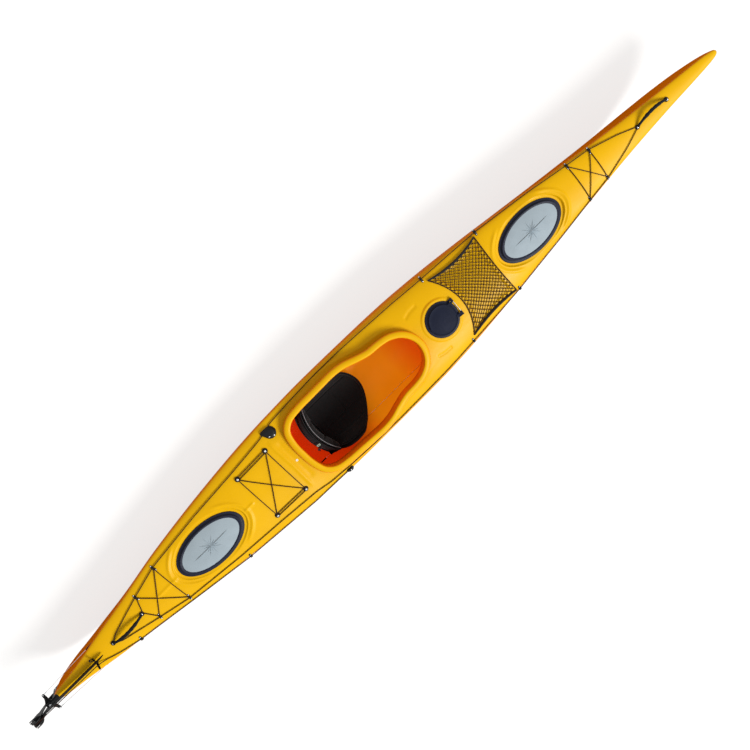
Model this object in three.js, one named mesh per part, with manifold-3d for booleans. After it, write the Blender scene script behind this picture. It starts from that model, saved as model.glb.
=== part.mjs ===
// Sea kayak with an over-stern rudder, a keyhole cockpit and three hatches.
// Millimetres. X runs from stern to bow, Y to port and Z up, from the middle of the flat keel strip.
import * as THREE from 'three';
import { mergeVertices } from 'three/addons/utils/BufferGeometryUtils.js';
import Module from 'manifold-3d';

const wasm = await Module();
wasm.setup();

// Driving dimensions of the hull
const hullLength = 5200;
const hullBeam = 604;
const hullDepth = 345;
const hullWall = 5;
const hullRings = 27;
const sidePoints = 8;
const deckPoints = 6;
const cavityRings = 17;
const cavitySidePoints = 6;
const cavityDeckPoints = 4;
const cavityEndShare = 0.03;
const ovalSides = 24;

// Clearances shared by the whole boat
const seatGap = 0.3;
const runningGap = 0.8;
const overrun = 30;
const halfLength = hullLength / 2;
const halfBeam = hullBeam / 2;
const cavityEndGap = cavityEndShare * halfLength;
const at = (x, y, z) => new THREE.Vector3(x, y, z);
// A route is a table of places as shares of the half length and the half beam
const routeOf = (shares) => shares.map(([along, across]) => [along * halfLength, across * halfBeam]);

// Hull lines: place along the half length, then half breadth as a share of the half beam,
// and sheer, deck ridge and keel heights as shares of the hull depth
const hullLineShares = [
  [-1.000, 0.033, 0.826, 0.858, 0.667],
  [-0.996, 0.066, 0.841, 0.875, 0.551],
  [-0.985, 0.096, 0.858, 0.893, 0.377],
  [-0.962, 0.126, 0.867, 0.901, 0.232],
  [-0.923, 0.172, 0.867, 0.910, 0.116],
  [-0.838, 0.315, 0.841, 0.907, 0.041],
  [-0.758, 0.430, 0.800, 0.878, 0.017],
  [-0.635, 0.636, 0.759, 0.858, 0.003],
  [-0.462, 0.838, 0.730, 0.864, -0.006],
  [-0.331, 0.944, 0.725, 0.864, -0.012],
  [-0.269, 0.974, 0.725, 0.843, -0.012],
  [-0.154, 1.000, 0.728, 0.870, -0.012],
  [0.000, 0.987, 0.745, 0.942, -0.012],
  [0.077, 0.970, 0.759, 0.980, -0.012],
  [0.154, 0.927, 0.777, 1.000, -0.009],
  [0.269, 0.825, 0.800, 0.986, -0.003],
  [0.423, 0.652, 0.835, 0.968, 0.009],
  [0.577, 0.474, 0.887, 0.980, 0.026],
  [0.731, 0.301, 0.951, 1.014, 0.075],
  [0.846, 0.199, 1.003, 1.049, 0.209],
  [0.923, 0.142, 1.043, 1.081, 0.406],
  [0.969, 0.103, 1.067, 1.101, 0.623],
  [0.988, 0.079, 1.075, 1.110, 0.768],
  [0.997, 0.053, 1.081, 1.107, 0.884],
  [1.000, 0.026, 1.084, 1.099, 0.971],
];
// Roundness of the bilge, amidships and at the ends
const bilgeAcross = { middle: 2.4, end: 1.7 };
const bilgeDown = { middle: 1.3, end: 1.2 };

// Monotone cubic through one column of the hull lines
function lineCurve(column) {
  const at = hullLineShares.map((row) => row[0]);
  const value = hullLineShares.map((row) => row[column]);
  const slope = at.slice(1).map((end, i) => (value[i + 1] - value[i]) / (end - at[i]));
  const tangent = value.map((_, i) => {
    if (i === 0) return slope[0];
    if (i === slope.length) return slope[i - 1];
    if (slope[i - 1] * slope[i] <= 0) return 0;
    return 2 * slope[i - 1] * slope[i] / (slope[i - 1] + slope[i]);
  });
  return (share) => {
    let i = at.findIndex((end) => end > share) - 1;
    if (i < 0) i = share <= at[0] ? 0 : at.length - 2;
    const span = at[i + 1] - at[i];
    const t = THREE.MathUtils.clamp((share - at[i]) / span, 0, 1);
    const t2 = t * t;
    const t3 = t2 * t;
    return value[i] * (2 * t3 - 3 * t2 + 1) + tangent[i] * span * (t3 - 2 * t2 + t)
      + value[i + 1] * (3 * t2 - 2 * t3) + tangent[i + 1] * span * (t3 - t2);
  };
}
const breadthCurve = lineCurve(1);
const sheerCurve = lineCurve(2);
const ridgeCurve = lineCurve(3);
const keelCurve = lineCurve(4);

function hullAt(x) {
  const share = x / halfLength;
  const ends = share * share;
  return {
    breadth: halfBeam * breadthCurve(share),
    sheer: hullDepth * sheerCurve(share),
    ridge: hullDepth * ridgeCurve(share),
    keel: hullDepth * keelCurve(share),
    across: THREE.MathUtils.lerp(bilgeAcross.middle, bilgeAcross.end, ends),
    down: THREE.MathUtils.lerp(bilgeDown.middle, bilgeDown.end, ends),
  };
}

// Height of the moulded deck above the keel strip
function deckHeight(x, y) {
  const lines = hullAt(x);
  const across = Math.min(Math.abs(y) / lines.breadth, 1);
  return lines.sheer + (lines.ridge - lines.sheer) * Math.sqrt(1 - across * across);
}

function deckNormal(x, y) {
  const reach = hullWall;
  const alongX = (deckHeight(x + reach, y) - deckHeight(x - reach, y)) / (2 * reach);
  const alongY = (deckHeight(x, y + reach) - deckHeight(x, y - reach)) / (2 * reach);
  return new THREE.Vector3(-alongX, -alongY, 1).normalize();
}

// Geometry and solid helpers
function closedGeometry(points, faces) {
  const geometry = new THREE.BufferGeometry();
  const places = points.flatMap((p) => [p.x, p.y, p.z]);
  geometry.setAttribute('position', new THREE.Float32BufferAttribute(places, 3));
  let volume = 0;
  for (const [a, b, c] of faces) volume += points[a].dot(points[b].clone().cross(points[c]));
  geometry.setIndex(faces.flatMap(([a, b, c]) => (volume > 0 ? [a, b, c] : [a, c, b])));
  return geometry;
}

// Skin between rings of equal counts, closed by a fan at each end or joined end to end
function loftGeometry(rings, joined = false) {
  const count = rings[0].length;
  const points = rings.flat();
  const faces = [];
  const last = joined ? rings.length : rings.length - 1;
  for (let i = 0; i < last; i += 1) {
    const next = (i + 1) % rings.length;
    for (let j = 0; j < count; j += 1) {
      const k = (j + 1) % count;
      faces.push([i * count + j, next * count + j, next * count + k]);
      faces.push([i * count + j, next * count + k, i * count + k]);
    }
  }
  if (joined) return closedGeometry(points, faces);
  for (const [ring, turn] of [[0, 1], [rings.length - 1, -1]]) {
    const centre = points.length;
    points.push(rings[ring].reduce((sum, p) => sum.add(p), new THREE.Vector3()).divideScalar(count));
    for (let j = 0; j < count; j += 1) {
      const edge = [ring * count + j, ring * count + (j + 1) % count];
      faces.push(turn > 0 ? [centre, edge[0], edge[1]] : [centre, edge[1], edge[0]]);
    }
  }
  return closedGeometry(points, faces);
}

function toSolid(geometry) {
  let bare = new THREE.BufferGeometry();
  bare.setAttribute('position', geometry.getAttribute('position'));
  bare.setIndex(geometry.getIndex());
  bare = mergeVertices(bare);
  return new wasm.Manifold(new wasm.Mesh({
    numProp: 3,
    vertProperties: new Float32Array(bare.getAttribute('position').array),
    triVerts: new Uint32Array(bare.getIndex().array),
  }));
}

function toGeometry(solid) {
  const mesh = solid.getMesh();
  const geometry = new THREE.BufferGeometry();
  geometry.setAttribute('position', new THREE.BufferAttribute(new Float32Array(mesh.vertProperties), 3));
  geometry.setIndex(new THREE.BufferAttribute(new Uint32Array(mesh.triVerts), 1));
  return geometry;
}

const join = (solids) => solids.reduce((sum, solid) => sum.add(solid));
const moved = (geometry, x, y, z) => geometry.translate(x, y, z);

function box(low, high) {
  const geometry = new THREE.BoxGeometry(high[0] - low[0], high[1] - low[1], high[2] - low[2]);
  return moved(geometry, (low[0] + high[0]) / 2, (low[1] + high[1]) / 2, (low[2] + high[2]) / 2);
}

// Upright oval prism between two heights
function ovalPrism(x, alongRadius, acrossRadius, low, high, sides = ovalSides) {
  const geometry = new THREE.CylinderGeometry(1, 1, high - low, sides);
  geometry.rotateX(Math.PI / 2).scale(alongRadius, acrossRadius, 1);
  return moved(geometry, x, 0, (low + high) / 2);
}

// Round rod along Y
function crossRod(x, z, radius, low, high, sides) {
  return moved(new THREE.CylinderGeometry(radius, radius, high - low, sides), x, (low + high) / 2, z);
}

// Turned oval ring or cap: a profile of [offset from the oval, height] swept round the oval
function ovalTurned(alongRadius, acrossRadius, profile, sides = ovalSides) {
  const rings = [];
  for (let i = 0; i < sides; i += 1) {
    const turn = 2 * Math.PI * i / sides;
    rings.push(profile.map(([offset, height]) => new THREE.Vector3(
      (alongRadius + offset) * Math.cos(turn), (acrossRadius + offset) * Math.sin(turn), height)));
  }
  return loftGeometry(rings, true);
}

function circleShape(radius, sides) {
  const points = Array.from({ length: sides }, (_, i) => {
    const turn = 2 * Math.PI * (i + 0.5) / sides;
    return new THREE.Vector2(radius * Math.cos(turn), radius * Math.sin(turn));
  });
  return new THREE.Shape(points);
}

function tube(points, radius, sides, steps) {
  const path = new THREE.CatmullRomCurve3(points, false, 'centripetal');
  const settings = { steps, extrudePath: path, bevelEnabled: false };
  return new THREE.ExtrudeGeometry(circleShape(radius, sides), settings);
}

// Flat plate cut to an outline in X and Z, standing across Y
function uprightPlate(outline, low, high, holes = []) {
  const shape = new THREE.Shape(outline.map(([x, z]) => new THREE.Vector2(x, z)));
  shape.holes = holes.map((hole) => new THREE.Path(hole.map(([x, z]) => new THREE.Vector2(x, z))));
  const geometry = new THREE.ExtrudeGeometry(shape, { depth: high - low, bevelEnabled: false });
  return moved(geometry.rotateX(Math.PI / 2), 0, high, 0);
}

// Flat plate cut to an outline in X and Y, lying between two heights
function flatPlate(outline, low, high) {
  const shape = new THREE.Shape(outline.map(([x, y]) => new THREE.Vector2(x, y)));
  const geometry = new THREE.ExtrudeGeometry(shape, { depth: high - low, bevelEnabled: false });
  return moved(geometry, 0, 0, low);
}

function arcPoints(centre, radius, from, to, steps) {
  return Array.from({ length: steps + 1 }, (_, i) => {
    const turn = THREE.MathUtils.degToRad(THREE.MathUtils.lerp(from, to, i / steps));
    return [centre[0] + radius * Math.cos(turn), centre[1] + radius * Math.sin(turn)];
  });
}

// Hull section, set in from the outer skin by the inset
function hullRing(x, inset, side, deck) {
  const lines = hullAt(x);
  const breadth = lines.breadth - inset;
  const ridge = lines.ridge - inset;
  const keel = lines.keel + inset;
  const ring = [];
  for (let i = 0; i <= 2 * deck; i += 1) {
    const turn = Math.PI * i / (2 * deck);
    const height = lines.sheer + (ridge - lines.sheer) * Math.sin(turn);
    ring.push(new THREE.Vector3(x, breadth * Math.cos(turn), height));
  }
  const half = [];
  for (let i = 1; i <= side; i += 1) {
    const turn = Math.PI / 2 * i / (side + 0.5);
    const across = breadth * Math.cos(turn) ** (2 / lines.across);
    const height = lines.sheer - (lines.sheer - keel) * Math.sin(turn) ** (2 / lines.down);
    half.push([across, Math.max(height, inset)]);
  }
  for (const [y, z] of half) ring.push(new THREE.Vector3(x, -y, z));
  for (const [y, z] of half.reverse()) ring.push(new THREE.Vector3(x, y, z));
  return ring;
}

function hullLoft(inset, reach, rings, side, deck) {
  const stations = Array.from({ length: rings + 1 }, (_, i) => Math.sin(Math.PI * (i / rings - 0.5)));
  const loft = stations.map((station) => hullRing(reach * station, inset, side, deck));
  for (const p of loft[0]) p.x = Math.min(p.x, -reach + Math.min(inset, 0));
  for (const p of loft[rings]) p.x = Math.max(p.x, reach - Math.min(inset, 0));
  return toSolid(loftGeometry(loft));
}
const hullSkin = (inset) => hullLoft(inset, halfLength, hullRings, sidePoints, deckPoints);
const hullInside = (inset) => hullLoft(
  inset, halfLength - cavityEndGap, cavityRings, cavitySidePoints, cavityDeckPoints);

// Materials
const finishes = {
  hull: { color: 0xf2b70d, roughness: 0.38 },
  dark: { color: 0x16171a, roughness: 0.5 },
  rim: { color: 0x22242e, roughness: 0.5 },
  cover: { color: 0xa3b0b9, roughness: 0.6 },
  slate: { color: 0x2f343d, roughness: 0.45 },
  steel: { color: 0xb9bdc2, roughness: 0.3, metalness: 0.9 },
  cord: { color: 0x241c17, roughness: 0.8 },
  shell: { color: 0x101012, roughness: 0.5 },
  cloth: { color: 0x101012, roughness: 0.88 },
};

const boat = new THREE.Group();
function addPiece(parent, name, geometry, finish) {
  const mesh = new THREE.Mesh(geometry, new THREE.MeshStandardMaterial(finish));
  mesh.name = name;
  parent.add(mesh);
  return mesh;
}

// Hatches: each has a flat seat sunk in the deck, a fixed rim and a cover
const hatchMargin = 24;
const rimWidth = 25;
const rimBase = 4;
const rimHeight = 13;
const upstandWidth = 5;
const coverWall = 3;
const coverSkirt = 9;
const coverCrown = 7;
const rayRise = 2.5;
const crownShare = 0.55;
const ovalHatchAlongShare = 0.08885;
const ovalHatchAcrossShare = 0.4371;
const dayHatchShare = 0.351;
const ovalHatchAlong = ovalHatchAlongShare * halfLength;
const ovalHatchAcross = ovalHatchAcrossShare * halfBeam;
const dayHatchRadius = dayHatchShare * halfBeam;
const hatchShares = { stern: -0.5423, bow: 0.4296, day: 0.1527 };
const sternHatchSink = 11;
const bowHatchSink = 15;
const dayHatchSink = 0;
function hatchAt(name, along, across, sink) {
  const x = hatchShares[name] * halfLength;
  return { x, along, across, seat: deckHeight(x, 0) - sink };
}
const hatches = {
  stern: hatchAt('stern', ovalHatchAlong, ovalHatchAcross, sternHatchSink),
  bow: hatchAt('bow', ovalHatchAlong, ovalHatchAcross, bowHatchSink),
  day: hatchAt('day', dayHatchRadius, dayHatchRadius, dayHatchSink),
};
const dayMouthStep = 22;
const dayMouth = dayHatchRadius - dayMouthStep;

// Cockpit opening: places along the hull and half widths, from its front to its back
const cockpitFrontShare = 0.0754;
const cockpitBackShare = -0.2585;
const cockpitHalfWidthShare = 0.6987;
const cockpitFront = cockpitFrontShare * halfLength;
const cockpitBack = cockpitBackShare * halfLength;
const cockpitHalfWidth = cockpitHalfWidthShare * halfBeam;
const cockpitShares = [
  [0.013, 0.261], [0.050, 0.488], [0.111, 0.649], [0.180, 0.711], [0.278, 0.744], [0.370, 0.853],
  [0.445, 0.957], [0.525, 1.000], [0.617, 0.991], [0.733, 0.972], [0.836, 0.953], [0.923, 0.882],
  [0.972, 0.711], [0.991, 0.474], [0.999, 0.237],
];
const coamingPoints = 34;
const coamingRise = { front: 40, back: 27 };
const coamingRimFront = deckHeight(cockpitFront, 0) + coamingRise.front;
const coamingRimBack = deckHeight(cockpitBack, 0) + coamingRise.back;
const coamingWall = 6;
const coamingLip = 40;
const coamingLipDrop = 11;
const coamingLipWall = 6;
const coamingRoot = 8;
const coamingFlatShare = 0.7;

function cockpitOutline() {
  const place = ([along, wide]) => [
    THREE.MathUtils.lerp(cockpitFront, cockpitBack, along), cockpitHalfWidth * wide];
  const port = cockpitShares.map(place);
  const starboard = port.map(([x, y]) => [x, -y]).reverse();
  const loop = [[cockpitFront, 0], ...port, [cockpitBack, 0], ...starboard];
  const curve = new THREE.CatmullRomCurve3(loop.map(([x, y]) => at(x, y, 0)), true, 'centripetal');
  return Array.from({ length: coamingPoints }, (_, i) => {
    const along = curve.getTangentAt(i / coamingPoints);
    return { place: curve.getPointAt(i / coamingPoints), outward: at(along.y, -along.x, 0).normalize() };
  });
}
const cockpit = cockpitOutline();
const rimHeightAt = (x) => THREE.MathUtils.mapLinear(
  x, cockpitBack, cockpitFront, coamingRimBack, coamingRimFront);

function coamingSolid() {
  const rings = cockpit.map(({ place, outward }) => {
    const top = rimHeightAt(place.x);
    const root = deckHeight(place.x, place.y) - hullWall - coamingRoot;
    const shoulder = coamingLip - coamingLipWall;
    const flat = shoulder * coamingFlatShare;
    const profile = [
      [0, root], [0, top - coamingLipWall / 2], [coamingWall, top], [flat, top],
      [coamingLip, top - coamingLipDrop], [shoulder, top - coamingLipDrop],
      [flat, top - coamingLipWall], [coamingWall, top - coamingLipWall], [coamingWall, root],
    ];
    return profile.map(([out, height]) => place.clone().addScaledVector(outward, out).setZ(height));
  });
  return toSolid(loftGeometry(rings, true));
}

function cockpitPrism(outset, low, high) {
  const outline = cockpit.map(({ place, outward }) => {
    const edge = place.clone().addScaledVector(outward, outset);
    return [edge.x, edge.y];
  });
  return toSolid(flatPlate(outline.reverse(), low, high));
}

// Deck net and the shallow panel under it
const netAftGap = 28;
const netForeGap = 32;
const netAft = hatches.day.x + dayHatchRadius + hatchMargin + netAftGap;
const netAftSweep = 72;
const netFore = hatches.bow.x - ovalHatchAlong - hatchMargin - netForeGap;
const netForeSweep = 15;
const netAftShare = 0.7219;
const netForeShare = 0.6887;
const netAftHalf = netAftShare * halfBeam;
const netForeHalf = netForeShare * halfBeam;
const netWaist = 24;
const netEdgeSteps = 6;
const panelDepth = 6;
const panelMargin = 22;
const panelFloorShare = 0.739;
const panelFloor = panelFloorShare * hullDepth;

function netPoint(u, v) {
  const aft = netAft - netAftSweep * v * v;
  const fore = netFore + netForeSweep * v * v;
  const half = THREE.MathUtils.lerp(netAftHalf, netForeHalf, u) - 4 * netWaist * u * (1 - u);
  return [THREE.MathUtils.lerp(aft, fore, u), v * half];
}

function netOutline(margin) {
  const edge = [];
  for (let i = -netEdgeSteps; i <= netEdgeSteps; i += 1) {
    const [x, y] = netPoint(0, i / netEdgeSteps);
    edge.push([x + margin, y * (1 - margin / netForeHalf)]);
  }
  for (let i = -netEdgeSteps; i <= netEdgeSteps; i += 1) {
    const [x, y] = netPoint(1, -i / netEdgeSteps);
    edge.push([x - margin, y * (1 - margin / netForeHalf)]);
  }
  return edge.reverse();
}

// Rudder cable sleeves: routes of the two plastic sleeves inside the hull, port side
const sleeveRadius = 4;
const sleeveBore = 2.2;
const cableRadius = 1.2;
const railAcrossShare = 0.596;
const railHeightShare = 0.435;
const railAcross = railAcrossShare * halfBeam;
const railHeight = railHeightShare * hullDepth;
const pedalCableOutside = 13;
const pedalCableUnder = 28;
const pedalCableAcross = railAcross + pedalCableOutside;
const pedalCableHeight = railHeight - pedalCableUnder;
const sleeveAhead = 42;
const sleeveFront = cockpitBack + sleeveAhead;
const sleeveStraight = 130;
const sleeveLead = 45;
const sleeveShares = [
  [-0.423, 0.623, 0.458], [-0.577, 0.503, 0.614], [-0.731, 0.358, 0.704], [-0.815, 0.278, 0.771],
  [-0.858, 0.255, 0.809], [-0.881, 0.250, 0.829],
];
const side = (sign) => (sign > 0 ? 'port' : 'starboard');

function sleevePoints(sign) {
  const straight = [0, sleeveStraight, sleeveStraight + sleeveLead].map(
    (back) => at(sleeveFront - back, sign * pedalCableAcross, pedalCableHeight));
  return [...straight, ...sleeveShares.map(
    ([along, across, up]) => at(along * halfLength, sign * across * halfBeam, up * hullDepth))];
}
const sleeveSteps = 14;
const sleeveSides = 8;
const sleeveTube = (sign, radius) => toSolid(tube(sleevePoints(sign), radius, sleeveSides, sleeveSteps));

// Hull shell: the outer skin less the cavity, with sunk hatch seats, openings and the coaming
const grownHull = hullSkin(-seatGap);
function hullShell() {
  let outer = hullSkin(0);
  let cavity = hullInside(hullWall);
  for (const hatch of Object.values(hatches)) {
    const along = hatch.along + hatchMargin;
    const across = hatch.across + hatchMargin;
    const low = hatch.seat - 4 * hullWall;
    outer = outer.add(toSolid(ovalPrism(hatch.x, along, across, low, hatch.seat)));
    outer = outer.subtract(toSolid(ovalPrism(hatch.x, along, across, hatch.seat, hatch.seat + overrun)));
    cavity = cavity.subtract(toSolid(ovalPrism(
      hatch.x, along + hullWall, across + hullWall, hatch.seat - hullWall, hatch.seat + overrun)));
  }
  const panelTop = hullDepth + overrun;
  const panel = toSolid(flatPlate(netOutline(panelMargin), panelFloor, panelTop));
  const wider = toSolid(flatPlate(netOutline(panelMargin - hullWall), panelFloor, panelTop));
  outer = outer.subtract(panel.subtract(hullSkin(panelDepth)));
  cavity = cavity.subtract(wider.subtract(hullSkin(panelDepth + hullWall)));

  let shell = outer.subtract(cavity);
  for (const [name, hatch] of Object.entries(hatches)) {
    const along = name === 'day' ? dayMouth : hatch.along - rimWidth - upstandWidth;
    const across = name === 'day' ? dayMouth : hatch.across - rimWidth - upstandWidth;
    const mouth = ovalPrism(hatch.x, along, across, hatch.seat - overrun, hatch.seat + overrun);
    shell = shell.subtract(toSolid(mouth));
  }
  shell = shell.subtract(cockpitPrism(coamingWall / 2, hullDepth / 2, hullDepth + 2 * overrun));
  shell = shell.add(coamingSolid());
  for (const sign of [1, -1]) shell = shell.subtract(sleeveTube(sign, sleeveRadius + seatGap));
  return shell;
}
addPiece(boat, 'hull_shell', toGeometry(hullShell()), finishes.hull);

// Bulkheads, trimmed to the inside of the shell
const bulkheadThickness = 8;
const bowBulkheadGap = 10;
const sternBulkheadGap = 33;
const bulkheads = {
  bow_bulkhead: hatches.bow.x - ovalHatchAlong - hatchMargin - bowBulkheadGap,
  stern_bulkhead: cockpitBack - sternBulkheadGap,
};
const insideOfHull = hullInside(hullWall + seatGap);
function cutForSleeves(solid) {
  return [1, -1].reduce((left, sign) => left.subtract(sleeveTube(sign, sleeveRadius + seatGap)), solid);
}
for (const [name, x] of Object.entries(bulkheads)) {
  const slab = toSolid(box(
    [x - bulkheadThickness, -halfBeam, -overrun], [x, halfBeam, hullDepth + overrun]));
  addPiece(boat, name, toGeometry(cutForSleeves(slab.intersect(insideOfHull))), finishes.hull);
}

// Hatch rims and covers
function hatchRim(hatch, mouthAlong, mouthAcross) {
  const up = rimWidth - upstandWidth;
  return ovalTurned(hatch.along, hatch.across, [
    [0, 0], [0, rimBase / 2], [-rimBase / 2, rimBase], [-up, rimBase], [-up, rimHeight],
    [-rimWidth, rimHeight], [mouthAlong - hatch.along, rimBase], [mouthAlong - hatch.along, 0],
  ]);
}

function coverCap(hatch, sides) {
  const fit = rimWidth - upstandWidth - runningGap;
  const edge = fit - coverWall;
  const low = rimHeight - coverSkirt + seatGap;
  const top = rimHeight + seatGap;
  const outside = [
    [edge, low], [edge, top], [edge + coverWall, top + coverWall],
    [hatch.across * crownShare, top + coverWall + coverCrown],
  ];
  const inside = [[fit, low], [fit, top], [hatch.across * crownShare, top + coverCrown]];
  return loftGeometry([
    ...inside.slice().reverse().map((ring) => capRing(hatch, ring, sides)),
    ...outside.map((ring) => capRing(hatch, ring, sides)),
  ]);
}

function capRing(hatch, [size, height], sides) {
  return Array.from({ length: sides }, (_, i) => {
    const turn = 2 * Math.PI * i / sides;
    return at((hatch.along - size) * Math.cos(turn), (hatch.across - size) * Math.sin(turn), height);
  });
}

// Star of raised rays on an oval cover: long fore and aft, shorter across, short on the slants
const rayWidth = 9;
const rayShares = { along: 0.62, across: 0.45, slant: 0.42, foot: 0.7 };
function coverRays(hatch) {
  const top = rimHeight + seatGap + coverWall + coverCrown * rayShares.foot;
  const high = rimHeight + seatGap + coverWall + coverCrown + rayRise;
  const ray = (length, turn) => {
    const half = rayWidth / 2;
    const bar = flatPlate([[-length, 0], [0, -half], [length, 0], [0, half]], top - coverCrown / 2, high);
    return toSolid(bar.rotateZ(turn));
  };
  const slant = Math.atan2(hatch.across, hatch.along);
  return join([
    ray(hatch.along * rayShares.along, 0), ray(hatch.across * rayShares.across, Math.PI / 2),
    ray(hatch.across * rayShares.slant, slant), ray(hatch.across * rayShares.slant, -slant),
  ]);
}

for (const name of ['bow', 'stern']) {
  const hatch = hatches[name];
  const frame = new THREE.Group();
  frame.position.set(hatch.x, 0, hatch.seat + seatGap);
  boat.add(frame);
  const mouthAlong = hatch.along - rimWidth - upstandWidth;
  const mouthAcross = hatch.across - rimWidth - upstandWidth;
  addPiece(frame, `${name}_hatch_rim`, hatchRim(hatch, mouthAlong, mouthAcross), finishes.rim);
  const cover = toSolid(coverCap(hatch, ovalSides)).add(coverRays(hatch));
  addPiece(frame, `${name}_hatch_cover`, toGeometry(cover), finishes.cover);
}

// Day hatch: a round lid hinged at its forward edge over a deep pod
const day = hatches.day;
const podDepth = 165;
const podWall = 3;
const podTaper = 10;
const podFlange = 8;
const podFlangeWall = 3;
const dayRimStep = 12;
const dayRimInner = dayHatchRadius - dayRimStep;
const hingeAhead = 6;
const hingeRise = 9;
const hingeKnuckle = 5;
const hingePin = 2;
const hingeEarWidth = 12;
const hingeEarShare = 0.5283;
const lidArmShare = 0.6;
const lidArmArc = [180, 420];
const rimEarArc = [0, 120];
const lidCrownShare = 0.5;
const podSides = 24;
const pinSides = 12;
const hingeEarAcross = hingeEarShare * dayHatchRadius;

const dayFrame = new THREE.Group();
dayFrame.position.set(day.x, 0, day.seat + seatGap);
boat.add(dayFrame);

function dayPod() {
  const outer = dayMouth - 2 * runningGap;
  const foot = outer - podTaper;
  const profile = [
    [0, -podDepth], [foot, -podDepth], [outer, 0], [outer + podFlange, 0],
    [outer + podFlange, podFlangeWall], [outer - podWall, podFlangeWall],
    [foot - podWall, podWall - podDepth], [0, podWall - podDepth],
  ].map(([r, z]) => new THREE.Vector2(r, z));
  return new THREE.LatheGeometry(profile, podSides).rotateX(Math.PI / 2);
}
addPiece(dayFrame, 'day_hatch_pod', toGeometry(toSolid(dayPod())), finishes.dark);

const hingeX = day.along + hingeAhead;
function dayRim() {
  const step = podFlangeWall + seatGap;
  const up = rimWidth - upstandWidth;
  const inner = dayRimInner - day.along;
  const ring = toSolid(ovalTurned(day.along, day.across, [
    [0, 0], [0, rimBase / 2], [-rimBase / 2, rimBase + step / 2], [-up + upstandWidth, rimBase + step / 2],
    [-up + upstandWidth, rimHeight], [-up, rimHeight], [-up, step], [inner, step], [inner, 0],
  ]));
  const lugBack = Math.sqrt(dayRimInner ** 2 - (hingeEarAcross - hingeEarWidth / 2) ** 2) + hingePin;
  const lugs = [1, -1].map((sign) => {
    const low = sign * hingeEarAcross - hingeEarWidth / 2;
    const high = sign * hingeEarAcross + hingeEarWidth / 2;
    const lug = [
      [lugBack, 0], [hingeX + hingeKnuckle, 0],
      ...arcPoints([hingeX, hingeRise], hingeKnuckle, ...rimEarArc, 5), [lugBack, rimBase],
    ];
    const hole = toSolid(crossRod(
      hingeX, hingeRise, hingePin + seatGap, low - overrun, high + overrun, pinSides));
    return toSolid(uprightPlate(lug, low, high)).subtract(hole);
  });
  return join([ring, ...lugs]);
}
addPiece(dayFrame, 'day_hatch_rim', toGeometry(dayRim()), finishes.rim);

function dayLid() {
  const fit = rimWidth - upstandWidth * 2 - runningGap;
  const low = rimHeight - coverSkirt / 2;
  const top = rimHeight + seatGap;
  const rings = [
    [fit, top], [fit, low], [fit - coverWall, low],
    [fit - coverWall, top + coverWall], [fit + coverWall, top + 2 * coverWall],
    [day.along * lidCrownShare, top + 3 * coverWall],
  ];
  const cap = toSolid(loftGeometry(rings.map((r) => capRing(day, r, ovalSides))));
  const arms = [1, -1].map((sign) => {
    const centre = sign * (hingeEarAcross - hingeEarWidth - runningGap);
    const outline = [
      [day.along * lidArmShare, top + coverWall / 2], [hingeX - hingeKnuckle, top - coverWall / 2],
      ...arcPoints([hingeX, hingeRise], hingeKnuckle, ...lidArmArc, 8),
      [day.along * lidArmShare, top + 2 * coverWall],
    ];
    const arm = toSolid(uprightPlate(outline, centre - hingeEarWidth / 2, centre + hingeEarWidth / 2));
    const hole = crossRod(
      hingeX, hingeRise, hingePin + seatGap, centre - hingeEarWidth, centre + hingeEarWidth, pinSides);
    return arm.subtract(toSolid(hole));
  });
  return join([cap, ...arms]);
}
addPiece(dayFrame, 'day_hatch_lid', toGeometry(dayLid()), finishes.slate);
const pinHalf = hingeEarAcross + hingeEarWidth / 2;
addPiece(dayFrame, 'day_hatch_hinge_pin',
  crossRod(hingeX, hingeRise, hingePin, -pinHalf, pinHalf, pinSides), finishes.steel);

// Cords: a route over the deck rises by the cord's own height above the moulding
const cordRadius = 2.5;
const cordRise = 5;
const cordSides = 6;

const crossSpacing = 62;
const alongSpacing = 200;

function deckPath(corners) {
  const points = [];
  corners.forEach(([x, y], i) => {
    if (i > 0) {
      const [x0, y0] = corners[i - 1];
      const spans = Math.abs(y - y0) / crossSpacing + Math.abs(x - x0) / alongSpacing;
      const steps = Math.max(1, Math.round(spans));
      for (let k = 1; k < steps; k += 1) {
        const t = k / steps;
        points.push([THREE.MathUtils.lerp(x0, x, t), THREE.MathUtils.lerp(y0, y, t)]);
      }
    }
    points.push([x, y]);
  });
  return points.map(([x, y]) => at(x, y, deckHeight(x, y)).addScaledVector(deckNormal(x, y), cordRise));
}

// A strand follows its corners straight from one to the next
function strand(corners, radius, sides = cordSides) {
  const points = deckPath(corners);
  return toSolid(tube(points, radius, sides, points.length - 1));
}
// Six-sided corridor that a cord clears in the fittings it passes
const corridorSides = 6;
const corridorRadius = (cordRadius + seatGap) / Math.cos(Math.PI / corridorSides);
const corridor = (corners) => strand(corners, corridorRadius, corridorSides);

// Deck fittings: places of the port row as shares of the half length and half beam, mirrored to starboard
const eyeShares = {
  deck_eye_1: [-0.729, 0.298], deck_eye_2: [-0.659, 0.457], deck_eye_3: [-0.401, 0.536],
  deck_eye_4: [-0.317, 0.556], deck_eye_5: [0.581, 0.404], deck_eye_6: [0.641, 0.328],
};
const netEyeAft = 21;
const netEyeFore = 23;
const netEyeOutside = { aft: 28, fore: 10 };
const eyePlaces = {
  ...Object.fromEntries(Object.entries(eyeShares).map(
    ([name, [along, across]]) => [name, [along * halfLength, across * halfBeam]])),
  net_eye_aft: [netAft - netAftSweep - netEyeAft, netAftHalf + netEyeOutside.aft],
  net_eye_fore: [netFore + netForeSweep + netEyeFore, netForeHalf + netEyeOutside.fore],
};
const lineOutboard = 4.4;

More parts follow.
